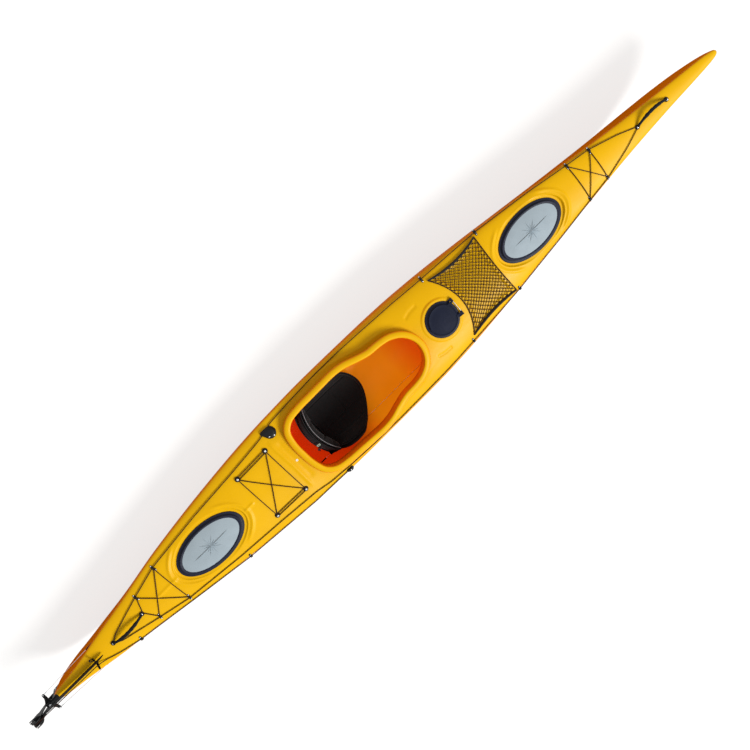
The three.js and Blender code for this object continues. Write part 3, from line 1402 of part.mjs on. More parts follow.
// Rudder chock: a soft V of two open loops that takes the stowed blade
const chockWall = 8;
const chockRise = 39;
const chockTopZ = bladeLow + chockRise;
const chockHalf = 43;
const chockFoot = 24;
const chockLoop = 6;
const chockShares = { low: 0.2, foot: 0.85, top: 1.5 };
function rudderChock() {
  const base = deckHeight(chockX, 0);
  const seat = bladeLow - runningGap;
  const outline = [
    [-chockFoot, base - 2 * eyeSink], [chockFoot, base - 2 * eyeSink], [chockHalf, chockTopZ - chockLoop],
    [chockHalf - chockLoop / 2, chockTopZ], [chockHalf - 2 * chockLoop, chockTopZ], [bladeWall, seat],
    [-bladeWall, seat], [-chockHalf + 2 * chockLoop, chockTopZ], [-chockHalf + chockLoop / 2, chockTopZ],
    [-chockHalf, chockTopZ - chockLoop],
  ];
  const loop = (sign) => [
    [sign * (bladeWall + chockLoop), seat + chockLoop * chockShares.low],
    [sign * (chockFoot * chockShares.foot), base + chockLoop],
    [sign * (chockHalf - chockLoop), chockTopZ - chockShares.top * chockLoop],
    [sign * (chockHalf - 2 * chockLoop), chockTopZ - chockLoop],
  ];
  const plate = uprightPlate(outline, -chockWall / 2, chockWall / 2, [loop(1), loop(-1).reverse()]);
  return toSolid(moved(plate.rotateZ(Math.PI / 2), chockX, 0, 0)).subtract(grownHull);
}

// Steering cables: sleeves through the hull, free stretches to the yoke, and rods to the pedals
const cableSides = 8;
const cableEndShare = 0.65;
for (const sign of [1, -1]) {
  const points = sleevePoints(sign);
  const front = at(sleeveFront, sign * pedalCableAcross, pedalCableHeight);
  const boreEnd = at(sleeveFront - sleeveStraight, sign * pedalCableAcross, pedalCableHeight);
  const mouth = front.clone().setX(sleeveFront + overrun);
  const bore = toSolid(tube([mouth, boreEnd], sleeveBore, cableSides, 1));
  const sleeve = sleeveTube(sign, sleeveRadius).subtract(bore);
  addPiece(boat, `cable_sleeve_${side(sign)}`, toGeometry(sleeve), finishes.dark);

  const end = points[points.length - 1];
  const tip = at(yokeTipX + yokeTipRadius + 2 * seatGap, sign * yokeHalf, yokeZ);
  const start = end.clone().lerp(tip, seatGap / end.distanceTo(tip) * 2);
  const free = tube([start, tip], cableRadius, cableSides, 2);
  addPiece(boat, `rudder_cable_${side(sign)}`, free, finishes.steel);

  const back = at(sleeveFront - sleeveStraight * cableEndShare, sign * pedalCableAcross, pedalCableHeight);
  const hitch = at(pedalAt - seatGap, sign * pedalCableAcross, pedalCableHeight);
  const rod = tube([back, hitch], cableRadius, cableSides, 1);
  addPiece(boat, `pedal_cable_${side(sign)}`, rod, finishes.steel);
}

// Uphaul: one cord from a jam cleat beside the cockpit, through two guides and the chock, to the drum
const uphaulShares = [
  [-0.2138, 0.9536], [-0.3192, 0.9205], [-0.5077, 0.7748], [-0.6538, 0.5695],
  [-0.7915, 0.3576], [-0.8423, 0.2185], [-0.8731, 0.1126],
];
const uphaulRoute = routeOf(uphaulShares);
const uphaulGuides = { uphaul_guide_fore: uphaulRoute[2], uphaul_guide_aft: uphaulRoute[4] };
const jamCleatLength = 46;
const jamCleatWidth = 17;
const jamCleatHeight = 13;
const jamCleatShares = { fore: 0.5, aft: 0.4 };
const jamCleatShare = -0.2185;
const jamCleatAcrossShare = 0.952;
const jamCleatX = jamCleatShare * halfLength;
const jamCleatAcross = jamCleatAcrossShare * halfBeam;
const uphaulChockAcross = 22.6;
const uphaulChockRise = 13;
const uphaulChockZ = bladeLow + uphaulChockRise;
const uphaulWrapDegrees = [80, 95, 116];
const uphaulSteps = { deck: 24, drum: 4 };

function uphaulCord(radius, sides) {
  const onDeck = deckPath(mirror(uphaulRoute, -1));
  const spool = drumRadius - drumGroove + cordRadius + seatGap;
  const wrap = uphaulWrapDegrees.map((degrees) => {
    const turn = THREE.MathUtils.degToRad(degrees);
    return at(pivotX + spool * Math.cos(turn), 0, pivotZ + spool * Math.sin(turn));
  });
  const chock = at(chockX, -uphaulChockAcross, uphaulChockZ);
  const before = chock.clone().lerp(wrap[0], chockWall / chock.distanceTo(wrap[0]));
  return join([
    toSolid(tube([...onDeck, chock, before], radius, sides, uphaulSteps.deck)),
    toSolid(tube([chock, wrap[0]], radius, sides, 1)),
    toSolid(tube(wrap, radius, sides, uphaulSteps.drum)),
  ]);
}
const uphaulCorridor = uphaulCord(corridorRadius, corridorSides);
addPiece(boat, 'uphaul_line', toGeometry(uphaulCord(cordRadius, cordSides)), finishes.cord);
addPiece(boat, 'rudder_chock', toGeometry(rudderChock().subtract(uphaulCorridor)), finishes.dark);
for (const [name, [x, y]] of Object.entries(uphaulGuides)) {
  const ahead = -(hullAt(x + eyeLength).breadth - hullAt(x - eyeLength).breadth) / (2 * eyeLength);
  const guide = eyeSolid(x, -y, Math.atan(ahead)).subtract(grownHull).subtract(uphaulCorridor);
  addPiece(boat, name, toGeometry(guide), finishes.dark);
}

function jamCleat() {
  const x = jamCleatX;
  const y = jamCleatAcross;
  const half = jamCleatLength / 2;
  const outline = [
    [-half, -eyeSink], [half, -eyeSink], [half, eyePad], [half * jamCleatShares.fore, jamCleatHeight],
    [-half * jamCleatShares.aft, jamCleatHeight], [-half, eyePad],
  ];
  const up = deckNormal(x, -y);
  const along = at(1, 0, 0).addScaledVector(up, -up.x).normalize();
  const frame = new THREE.Matrix4().makeBasis(along, up.clone().cross(along), up);
  frame.setPosition(x, -y, deckHeight(x, -y));
  const body = uprightPlate(outline, -jamCleatWidth / 2, jamCleatWidth / 2).applyMatrix4(frame);
  return toSolid(body).subtract(grownHull).subtract(uphaulCorridor);
}
addPiece(boat, 'uphaul_cleat', toGeometry(jamCleat()), finishes.dark);

export default boat;
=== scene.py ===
"""Looks of the sea kayak: a smooth moulded hull, hatches, cords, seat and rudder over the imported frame."""
import math

import bmesh
import bpy
import numpy as np
from mathutils import Matrix, Vector


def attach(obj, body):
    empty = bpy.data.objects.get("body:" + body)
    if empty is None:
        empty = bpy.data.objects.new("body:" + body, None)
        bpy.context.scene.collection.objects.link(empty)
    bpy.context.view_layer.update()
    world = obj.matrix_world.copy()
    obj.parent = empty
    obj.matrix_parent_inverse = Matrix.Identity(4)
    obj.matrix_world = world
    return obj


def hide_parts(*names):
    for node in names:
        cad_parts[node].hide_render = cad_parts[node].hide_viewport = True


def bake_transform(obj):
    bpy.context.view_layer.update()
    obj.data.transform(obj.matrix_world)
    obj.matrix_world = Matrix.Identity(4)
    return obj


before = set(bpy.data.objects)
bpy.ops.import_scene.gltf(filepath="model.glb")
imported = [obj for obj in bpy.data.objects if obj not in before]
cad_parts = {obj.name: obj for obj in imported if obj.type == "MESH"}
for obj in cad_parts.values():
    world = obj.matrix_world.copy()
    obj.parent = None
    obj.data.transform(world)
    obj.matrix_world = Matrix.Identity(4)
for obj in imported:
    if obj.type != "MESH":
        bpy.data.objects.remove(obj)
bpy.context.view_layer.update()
scene = bpy.context.scene
MM = 0.001
SIDES = ((1, "port"), (-1, "starboard"))
UPRIGHT, SIDEWAYS = (Matrix.Rotation(math.pi / 2, 4, axis) for axis in "XZ")


# Shared helpers
def mm(points):
    """Points typed in millimetres, in metres."""
    return [tuple(value * MM for value in point) for point in points]


def smooth(low, high, value):
    t = np.clip((value - low) / (high - low), 0, 1)
    return t * t * (3 - 2 * t)


def bell(value, width):
    return np.exp(-(value / width) ** 2)


def lengths(line):
    """Length run along a polyline at each of its points."""
    return np.concatenate([[0], np.cumsum(np.linalg.norm(np.diff(line, axis=0), axis=1))])


def link(obj):
    scene.collection.objects.link(obj)
    return obj


def mesh_object(name, verts, faces, mats, indices=None, smoothed=True):
    mesh = bpy.data.meshes.new(name)
    mesh.from_pydata(np.asarray(verts, float).tolist(), [], [tuple(face) for face in faces])
    for mat in mats if isinstance(mats, list) else [mats]:
        mesh.materials.append(mat)
    if indices is not None:
        mesh.polygons.foreach_set("material_index", np.asarray(indices, dtype=np.int32))
    mesh.polygons.foreach_set("use_smooth", np.full(len(mesh.polygons), smoothed))
    mesh.validate()
    mesh.update()
    return link(bpy.data.objects.new(name, mesh))


def tidied(obj):
    """Merges doubled points and turns every face outwards."""
    work = bmesh.new()
    work.from_mesh(obj.data)
    bmesh.ops.remove_doubles(work, verts=work.verts, dist=1e-5)
    bmesh.ops.recalc_face_normals(work, faces=work.faces)
    work.to_mesh(obj.data)
    work.free()
    obj.data.update()
    return obj


def creased(obj, degrees=40):
    """Smooth shading, broken at edges sharper than the angle."""
    obj.data.polygons.foreach_set("use_smooth", np.ones(len(obj.data.polygons), dtype=bool))
    obj.data.set_sharp_from_angle(angle=math.radians(degrees))
    return obj


def softened(obj, width, segments=3):
    soft = obj.modifiers.new("edge", "BEVEL")
    soft.width, soft.segments = width, segments
    soft.limit_method, soft.angle_limit = "ANGLE", math.radians(30)
    return obj


def placed(obj, matrix):
    obj.data.transform(matrix)
    return obj


def joined(name, objs):
    bpy.ops.object.select_all(action="DESELECT")
    for obj in objs:
        obj.select_set(True)
    bpy.context.view_layer.objects.active = objs[0]
    bpy.ops.object.join()
    objs[0].name = objs[0].data.name = name
    return objs[0]


def in_slot(node=None):
    """Hides the solid that the piece dresses."""
    if node:
        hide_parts(node)


def finish(obj, node=None, body="hull_body"):
    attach(obj, body)
    in_slot(node)


def weld_grid(grid, round_across=False, round_along=False):
    """Faces of a grid of points, closed on itself either way if asked."""
    index = np.arange(grid.shape[0] * grid.shape[1]).reshape(grid.shape[:2])
    if round_along:
        index = np.concatenate([index, index[:1]])
    if round_across:
        index = np.concatenate([index, index[:, :1]], axis=1)
    return np.stack([index[:-1, :-1], index[1:, :-1], index[1:, 1:], index[:-1, 1:]], axis=-1).reshape(-1, 4)


def stacked(parts):
    """One array of points and one of faces, from several pairs of them."""
    points, faces, offset = [], [], 0
    for some, quads in parts:
        points.append(some)
        faces.append(np.asarray(quads) + offset)
        offset += len(some)
    return np.concatenate(points), np.concatenate(faces)


def loft(name, rows, mat, ends=2):
    """Body over rings of points, capped at both ends, at the last one, or not at all."""
    grid = np.asarray(rows, float)
    count, size = grid.shape[1], grid.shape[0] * grid.shape[1]
    caps = [tuple(range(count)), tuple(reversed(range(size - count, size)))]
    return mesh_object(name, grid.reshape(-1, 3), weld_grid(grid, True).tolist() + caps[2 - ends:], mat)


def prism(name, outline, low, high, mat, centre=(0, 0, 0)):
    """An x, z outline drawn out along Y between two places, or between two places for each point."""
    places = np.array(outline) + (centre[0], centre[2])
    x, z = places.T
    rows = [np.stack([x, 0 * x + centre[1] + y, z], axis=1) for y in (low, high)]
    return creased(tidied(loft(name, rows, mat)))


def plan(name, outline, low, high, mat):
    """An x, y outline drawn out upwards between two heights."""
    return placed(prism(name, [(x, -y) for x, y in outline], low, high, mat), UPRIGHT)


def arc(cx, cz, radius, start, end, steps=8):
    turns = [math.radians(start + (end - start) * k / steps) for k in range(steps + 1)]
    return [(cx + radius * math.cos(turn), cz + radius * math.sin(turn)) for turn in turns]


def flipped(points):
    return [(-x, z) for x, z in reversed(points)]


def ring_of(along, across, centre, sides):
    turn = 2 * math.pi * np.arange(sides) / sides
    x, y, z = centre
    return np.stack([x + along * np.cos(turn), y + across * np.sin(turn), np.full(sides, z)], axis=1)


def turned(name, along, across, profile, centre, mat, sides=144, closed=False):
    """A profile of (inset from the oval, height) swept round it, and back to its start if closed."""
    x, y, z = centre
    grid = np.array([ring_of(along - a, across - a, (x, y, z + rise), sides) for a, rise in profile])
    return tidied(mesh_object(name, grid.reshape(-1, 3), weld_grid(grid, True, closed), mat))


def resample(line, steps, closed=False):
    along = lengths(line)
    want = np.linspace(0, along[-1], steps, endpoint=not closed)
    return np.stack([np.interp(want, along, column) for column in line.T], axis=1)


def catmull(points, steps, closed=False):
    """Centripetal Catmull-Rom through the points, sampled evenly by length."""
    points = np.asarray(points, float)
    if closed:
        points = np.concatenate([points[-1:], points, points[:2]])
    else:
        points = np.concatenate([2 * points[:1] - points[1:2], points, 2 * points[-1:] - points[-2:-1]])
    out = []
    for i in range(len(points) - 3):
        p, t = points[i:i + 4], [0.0]
        for a, b in zip(p, p[1:]):
            t.append(t[-1] + max(np.linalg.norm(b - a), 1e-6) ** 0.5)
        for u in np.linspace(t[1], t[2], 24, endpoint=False):
            a = [((t[k + 1] - u) * p[k] + (u - t[k]) * p[k + 1]) / (t[k + 1] - t[k]) for k in range(3)]
            b = [((t[k + 2] - u) * a[k] + (u - t[k]) * a[k + 1]) / (t[k + 2] - t[k]) for k in range(2)]
            out.append(((t[2] - u) * b[0] + (u - t[1]) * b[1]) / (t[2] - t[1]))
    return resample(np.array(out + [points[-2]]), steps, closed)


# Camera, light and floor
EYE, EYE_TURN = (-0.2963, 1.6619, 4.5047), (-13.694, -16.535, -42.249)


def make_camera():
    data = bpy.data.cameras.new("view")
    data.lens, data.sensor_width = 38.4, 36
    data.clip_start, data.clip_end = 0.05, 60
    scene.camera = link(bpy.data.objects.new("view", data))
    scene.camera.location = EYE
    scene.camera.rotation_euler = [math.radians(angle) for angle in EYE_TURN]


def lamp(name, kind, energy, place, target, size, colour=(1, 1, 1)):
    data = bpy.data.lights.new(name, kind)
    data.energy, data.color = energy, colour
    if kind == "SUN":
        data.angle = size
    else:
        data.shape, data.size = "DISK", size
    obj = link(bpy.data.objects.new(name, data))
    obj.location = place
    obj.rotation_euler = (Vector(target) - Vector(place)).to_track_quat("-Z", "Y").to_euler()


class Paint:
    """A node tree, with short calls for the nodes that the materials share."""

    def __init__(self, owner):
        owner.use_nodes = True
        self.tree = owner.node_tree

    def feed(self, made, inputs):
        """Sets inputs to values, or links them to sockets."""
        for name, value in inputs.items():
            if isinstance(value, bpy.types.NodeSocket):
                self.tree.links.new(value, made.inputs[name])
            else:
                made.inputs[name].default_value = value

    def add(self, kind, inputs, **settings):
        made = self.tree.nodes.new("ShaderNode" + kind)
        for name, value in settings.items():
            setattr(made, name, value)
        self.feed(made, inputs)
        return made.outputs

    def math(self, operation, *values):
        return self.add("Math", dict(enumerate(values)), operation=operation)[0]

    def place(self):
        return self.add("TexCoord", {})["Object"]

    def remap(self, value, low, high, start=0.0, end=1.0):
        return self.add("MapRange", {"Value": value, "From Min": low, "From Max": high, "To Min": start,
                                     "To Max": end})["Result"]

    def noise(self, scale, detail, stretch=None):
        source = self.place()
        if stretch:
            source = self.add("Mapping", {"Vector": source, "Scale": stretch})["Vector"]
        inputs = {"Vector": source, "Scale": scale, "Detail": detail, "Roughness": 0.55}
        return self.add("TexNoise", inputs)["Fac"]

    def ramp(self, value, stops):
        made = self.tree.nodes.new("ShaderNodeValToRGB")
        elements = made.color_ramp.elements
        while len(elements) < len(stops):
            elements.new(0.5)
        for element, (at, colour) in zip(elements, stops):
            element.position = at
            element.color = colour if isinstance(colour, tuple) else linear(colour)
        self.feed(made, {"Fac": value})
        return made.outputs["Color"]

    def bump(self, shader, height, strength, distance, after=None):
        inputs = {"Height": height, "Strength": strength, "Distance": distance}
        if after:
            inputs["Normal"] = after
        normal = self.add("Bump", inputs)["Normal"]
        self.feed(shader, {"Normal": normal})
        return normal

    def seen_white(self):
        """1 for the camera's own rays and for those that glossy or clear surfaces send on."""
        path = self.add("LightPath", {})
        value = self.math("MAXIMUM", path["Is Camera Ray"], path["Is Glossy Ray"])
        return self.math("MAXIMUM", value, path["Is Transmission Ray"])


def new_material(name):
    mat = bpy.data.materials.new(name)
    paint = Paint(mat)
    return mat, paint, paint.tree.nodes["Principled BSDF"]


def make_world():
    scene.world = bpy.data.worlds.new("studio")
    paint = Paint(scene.world)
    paint.tree.nodes.clear()
    fill = paint.add("Background", {0: (1.0, 0.985, 0.96, 1), 1: 0.40})[0]
    seen = paint.add("Background", {0: (1, 1, 1, 1), 1: 1.0})[0]
    paint.add("OutputWorld", {0: paint.add("MixShader", {0: paint.seen_white(), 1: fill, 2: seen})[0]})


def make_floor():
    half = 14
    mat, paint, shader = new_material("floor_white")
    paint.feed(shader, {"Base Color": (0.34, 0.34, 0.34, 1), "Roughness": 0.9, "Specular IOR Level": 0.1,
                        "Emission Color": (1, 1, 1, 1),
                        "Emission Strength": paint.math("MULTIPLY", paint.seen_white(), 0.72)})
    corners = [(-half, -half, 0), (half, -half, 0), (half, half, 0), (-half, half, 0)]
    floor = mesh_object("floor", corners, [(0, 1, 2, 3)], mat, smoothed=False)
    floor.location.z = -0.0005


make_camera()
make_world()
make_floor()
scene.view_settings.view_transform = "Standard"
lamp("key", "SUN", 3.0, (1.2, -4.4, 5.0), (0, 0, 0), math.radians(24), (1, 0.985, 0.95))
lamp("soft_bow", "AREA", 30, (3.4, -2.6, 3.2), (0.3, 0, 0.2), 2.6)
lamp("soft_port", "AREA", 34, (0.0, 4.6, 1.8), (0, 0, 0.2), 3.0, (1, 0.62, 0.34))


# Materials
def linear(code):
    channels = [(code >> shift & 255) / 255 for shift in (16, 8, 0)]
    return tuple(c / 12.92 if c <= 0.04045 else ((c + 0.055) / 1.055) ** 2.4 for c in channels) + (1.0,)


def plain(name, code, rough, metal=0.0, grain=900.0, lift=0.0002, vary=0.14, stretch=None, gleam=0.16):
    """Moulded or brushed finish: cloudy colour, uneven gloss and a fine grain."""
    mat, paint, shader = new_material(name)
    dark, light = (tuple(min(1.0, c * gain) for c in linear(code)[:3]) + (1.0,)
                   for gain in (1 - vary, 1 + vary))
    paint.feed(shader, {
        "Base Color": paint.ramp(paint.noise(14.0, 4.0), [(0.3, dark), (0.7, light)]),
        "Roughness": paint.remap(paint.noise(60.0, 5.0, stretch), 0.3, 0.7, rough - 0.06, rough + 0.06),
        "Metallic": metal, "Specular IOR Level": 0.5 if metal else gleam})
    paint.bump(shader, paint.noise(grain, 2.0, stretch), 0.35, lift)
    return mat


def daylight(paint):
    """Colour of the inner face and of its painted glow: deep red aft, orange under the knees, red again at
    the front.
    """
    x = paint.add("SeparateXYZ", {0: paint.place()})["X"]
    return paint.ramp(paint.remap(x, -0.64, 0.20), [(0.0, 0xD83A02), (0.22, 0xD83A02), (0.5, 0xDC8A0A),
                                                    (0.8, 0xDC8A0A), (1.0, 0xD8600A)])


def gold_with_painted_flank_shade(paint, zones):
    """Golden on top and orange where it turns under, as painted shade that grows darker and oranger as the
    surface tilts away from up; the mouldings round the oval hatches stay golden.
    """
    # Painted shade: the colour follows how far the surface faces away from up, not the lamps
    normal = paint.add("NewGeometry", {})["Normal"]
    share = paint.remap(paint.add("SeparateXYZ", {0: normal})["Z"], 0.10, 0.92)
    along, across = 0.320, 0.205
    for x in zones:
        inside = paint.add("Mapping", {"Vector": paint.place(), "Scale": (1 / along, 1 / across, 0),
                                       "Location": (-x / along, 0, 0)})["Vector"]
        length = paint.add("VectorMath", {0: inside}, operation="LENGTH")["Value"]
        share = paint.math("MAXIMUM", share, paint.remap(length, 1.0, 0.88))
    return paint.ramp(share, [(0.0, 0xEE7C06), (0.62, 0xEE8A04), (1.0, 0xE6B206)])


def hull_material(name, inside=False, gloss=0.10, zones=()):
    """Pigmented moulded plastic with a cloudy colour and a faint orange-peel skin; outside, painted shade
    turns the tilted flanks orange, and inside, the face has a painted glow.
    """
    mat, paint, shader = new_material(name)
    colour = daylight(paint) if inside else gold_with_painted_flank_shade(paint, zones)
    cloud = paint.ramp(paint.noise(5.0, 5.0), [(0.3, (0.93, 0.91, 0.88, 1)), (0.72, (1, 1, 1, 1))])
    mixed = paint.add("Mix", {"Factor": 1.0}, data_type="RGBA", blend_type="MULTIPLY")
    maker = paint.tree.nodes[-1]
    paint.feed(maker, {"A": colour, "B": cloud})
    paint.feed(shader, {
        "Base Color": mixed["Result"], "Specular IOR Level": gloss,
        "Roughness": paint.remap(paint.noise(22.0, 6.0, (0.25, 1, 1)), 0.3, 0.7, 0.27, 0.42)})
    if inside:
        # Painted glow: the inner face emits light in its own colour, standing in for daylight coming through
        # the thin moulding
        paint.feed(shader, {"Emission Color": mixed["Result"], "Emission Strength": 0.42})
    first = paint.bump(shader, paint.noise(420.0, 2.0), 0.25, 0.0003)
    paint.bump(shader, paint.noise(9.0, 1.0), 0.12, 0.004, first)
    return mat


def fibre(paint, shader, colour, rough, height, strength, distance):
    paint.feed(shader, {"Base Color": colour, "Roughness": rough, "Specular IOR Level": 0.2,
                        "Sheen Weight": 0.08})
    paint.bump(shader, height, strength, distance)


def cord_material(name, code, fleck, pitch=0.006):
    """Braided cord: slanted strands from the tube's own lengthwise and round coordinates."""
    mat, paint, shader = new_material(name)
    uv = paint.add("SeparateXYZ", {0: paint.add("UVMap", {})["UV"]})
    along = paint.math("MULTIPLY", uv["X"], 2 * math.pi / pitch)
    strands = [paint.math("SINE", paint.math("MULTIPLY_ADD", uv["Y"], turns * 2 * math.pi, along))
               for turns in (4, -4)]
    weave = paint.remap(paint.math("MULTIPLY", *strands), -1.0, 1.0)
    fibre(paint, shader, paint.ramp(weave, [(0.15, code), (0.75, fleck)]), 0.82, weave, 0.6, 0.0005)
    return mat


def cloth_material(name, code, fleck, scale=350.0):
    """Woven cloth: two crossed sets of fine ribs with a worn cloudiness."""
    mat, paint, shader = new_material(name)
    wave = {"Vector": paint.place(), "Scale": scale, "Distortion": 0.4}
    ribs = [paint.add("TexWave", wave, bands_direction=axis)["Fac"] for axis in ("X", "Y")]
    colour = paint.ramp(paint.noise(30.0, 5.0), [(0.3, code), (0.75, fleck)])
    fibre(paint, shader, colour, 0.85, paint.math("MULTIPLY", *ribs), 0.5, 0.0006)
    return mat


# Both outer hull materials carry the painted shade that turns tilted surfaces orange
HULL = hull_material("hull_gold", zones=(-1.410, 1.117))
FLANK = hull_material("hull_flank", gloss=0.0)
INSIDE_GLOW = hull_material("hull_inside_glow", inside=True)
BLACK = plain("black_plastic", 0x101113, 0.46)
RIM = plain("rim_plastic", 0x161A2C, 0.48)
COVER = plain("cover_rubber", 0x98A6B0, 0.55, grain=1500, vary=0.05)
SLATE = plain("lid_slate", 0x161B2D, 0.5, grain=1200, gleam=0.06)
WHITE = plain("white_plastic", 0xE9E9E4, 0.4, vary=0.04)
RUBBER = plain("black_rubber", 0x0C0C0F, 0.7, grain=1500, lift=0.0003)
STEEL = plain("stainless", 0xC4C7CA, 0.3, metal=1.0, grain=2500, lift=0.00006, vary=0.06, stretch=(1, 8, 1))
CORD = cord_material("cord", 0x220D06, 0x38190C)
HEM = cord_material("hem_cord", 0x100E0E, 0x2A2524, pitch=0.012)
CLOTH = cloth_material("seat_cloth", 0x040405, 0x0B0B0D)
PIPING = cloth_material("seat_piping", 0x6E7276, 0x8D9195)
WEBBING = cloth_material("webbing", 0x0E0F10, 0x232427, scale=600.0)
FOAM = plain("seat_shell", 0x0C0C0E, 0.6, grain=700, lift=0.0004)
GREEN = plain("buckle_green", 0x9DB8A6, 0.4)

# Hull lines: station, breadth, sheer, ridge and keel as shares of the half length, half beam and depth
LENGTH, BEAM, DEPTH, WALL = 5.2, 0.604, 0.345, 0.005
HALF, HALF_BEAM = LENGTH / 2, BEAM / 2
LINE_SHARES = np.array([
    (-1.000, 0.033, 0.826, 0.858, 0.667), (-0.996, 0.066, 0.841, 0.875, 0.551),
    (-0.985, 0.096, 0.858, 0.893, 0.377), (-0.962, 0.126, 0.867, 0.901, 0.232),
    (-0.923, 0.172, 0.867, 0.910, 0.116), (-0.838, 0.315, 0.841, 0.907, 0.041),
    (-0.758, 0.430, 0.800, 0.878, 0.017), (-0.635, 0.636, 0.759, 0.858, 0.003),
    (-0.462, 0.838, 0.730, 0.864, -0.006), (-0.331, 0.944, 0.725, 0.864, -0.012),
    (-0.269, 0.974, 0.725, 0.843, -0.012), (-0.154, 1.000, 0.728, 0.870, -0.012),
    (0.000, 0.987, 0.745, 0.942, -0.012), (0.077, 0.970, 0.759, 0.980, -0.012),
    (0.154, 0.927, 0.777, 1.000, -0.009), (0.269, 0.825, 0.800, 0.986, -0.003),
    (0.423, 0.652, 0.835, 0.968, 0.009), (0.577, 0.474, 0.887, 0.980, 0.026),
    (0.731, 0.301, 0.951, 1.014, 0.075), (0.846, 0.199, 1.003, 1.049, 0.209),
    (0.923, 0.142, 1.043, 1.081, 0.406), (0.969, 0.103, 1.067, 1.101, 0.623),
    (0.988, 0.079, 1.075, 1.110, 0.768), (0.997, 0.053, 1.081, 1.107, 0.884),
    (1.000, 0.026, 1.084, 1.099, 0.971)])
# Hatches: place along, half length, half width, height of the seat
HATCHES = {"stern": (-1.410, 0.231, 0.132, 0.286), "bow": (1.117, 0.231, 0.132, 0.319),
           "day": (0.397, 0.106, 0.106, 0.345)}
COCKPIT_FRONT, COCKPIT_BACK, COCKPIT_HALF = 0.196, -0.672, 0.211
COAMING_FRONT, COAMING_BACK, COAMING_ROOT = 0.376, 0.322, 0.014
COCKPIT_SHARES = [
    (0.013, 0.261), (0.050, 0.488), (0.111, 0.649), (0.180, 0.711), (0.278, 0.744), (0.370, 0.853),
    (0.445, 0.957), (0.525, 1.000), (0.617, 0.991), (0.733, 0.972), (0.836, 0.953), (0.923, 0.882),
    (0.972, 0.711), (0.991, 0.474), (0.999, 0.237)]
NET_AFT, NET_AFT_SWEEP, NET_FORE, NET_FORE_SWEEP = 0.555, 0.072, 0.830, 0.015
NET_AFT_HALF, NET_FORE_HALF, NET_WAIST, NET_SUNK = 0.218, 0.208, 0.024, 0.006


def line_curve(column):
    """Smooth curve through one column of the lines, without overshoot."""
    at, value = LINE_SHARES[:, 0], LINE_SHARES[:, column]
    slope = np.diff(value) / np.diff(at)
    before, after = slope[:-1], slope[1:]
    same = before * after > 0
    inner = np.where(same, 2 * before * after / np.where(same, before + after, 1), 0)
    tangent = np.concatenate([slope[:1], inner, slope[-1:]])

    def curve(share):
        share = np.clip(share, at[0], at[-1])
        i = np.clip(np.searchsorted(at, share, side="right") - 1, 0, len(at) - 2)
        span = at[i + 1] - at[i]
        t = (share - at[i]) / span
        t2, t3 = t * t, t * t * t
        return (value[i] * (2 * t3 - 3 * t2 + 1) + tangent[i] * span * (t3 - 2 * t2 + t)
                + value[i + 1] * (3 * t2 - 2 * t3) + tangent[i + 1] * span * (t3 - t2))
    return curve


CURVES = [line_curve(column) for column in (1, 2, 3, 4)]


def section(share, inset=0.0):
    """Half breadth, heights of sheer, ridge and keel, and the two powers of the bottom's curve."""
    breadth, sheer, ridge, keel = (curve(share) for curve in CURVES)
    ends = share * share
    return (HALF_BEAM * breadth - inset, DEPTH * sheer, DEPTH * ridge - inset, DEPTH * keel + inset,
            2.4 - 0.7 * ends, 1.3 - 0.1 * ends)


def deck_height(x, y):
    breadth, sheer, ridge, *_ = section(np.asarray(x) / HALF)
    across = np.minimum(np.abs(y) / breadth, 1)
    return sheer + (ridge - sheer) * np.sqrt(1 - across * across)


def deck_normal(x, y):
    reach = 0.005
    along = (deck_height(x + reach, y) - deck_height(x - reach, y)) / (2 * reach)
    cross = (deck_height(x, y + reach) - deck_height(x, y - reach)) / (2 * reach)
    normal = np.array([-along, -cross, 1.0])
    return normal / np.linalg.norm(normal)


def cockpit_loop(steps):
    """The opening's outline, and the outward direction at each point of it."""
    port = [(COCKPIT_FRONT + (COCKPIT_BACK - COCKPIT_FRONT) * a, COCKPIT_HALF * w) for a, w in COCKPIT_SHARES]
    loop = [(COCKPIT_FRONT, 0)] + port + [(COCKPIT_BACK, 0)] + [(x, -y) for x, y in reversed(port)]
    line = catmull(loop, steps, closed=True)
    ahead = np.roll(line, -1, axis=0) - np.roll(line, 1, axis=0)
    outward = np.stack([ahead[:, 1], -ahead[:, 0]], axis=1)
    return line, outward / np.linalg.norm(outward, axis=1, keepdims=True)


ring, ring_out = cockpit_loop(360)


def cockpit_distance(x, y):
    """Signed distance outside the cockpit opening, and the nearest point of its outline."""
    flat = np.stack([x.ravel(), y.ravel()], axis=1)
    out, foot = np.full(len(flat), 1.0), np.zeros(len(flat), int)
    near = np.flatnonzero((flat[:, 0] > COCKPIT_BACK - 0.2) & (flat[:, 0] < COCKPIT_FRONT + 0.2))
    for part in np.array_split(near, max(1, len(near) // 4000)):
        gap = flat[part][:, None] - ring
        foot[part] = np.argmin((gap ** 2).sum(axis=2), axis=1)
        out[part] = (gap[np.arange(len(part)), foot[part]] * ring_out[foot[part]]).sum(axis=1)
    return out.reshape(x.shape), foot


def oval_gap(x, y, hatch):
    """Rough distance outside an oval hatch."""
    hx, along, across, _ = HATCHES[hatch]
    r = np.sqrt(((x - hx) / along) ** 2 + (y / across) ** 2)
    return (r - 1) * np.minimum(along, np.maximum(across, np.hypot((x - hx), y) / np.maximum(r, 1e-6)))


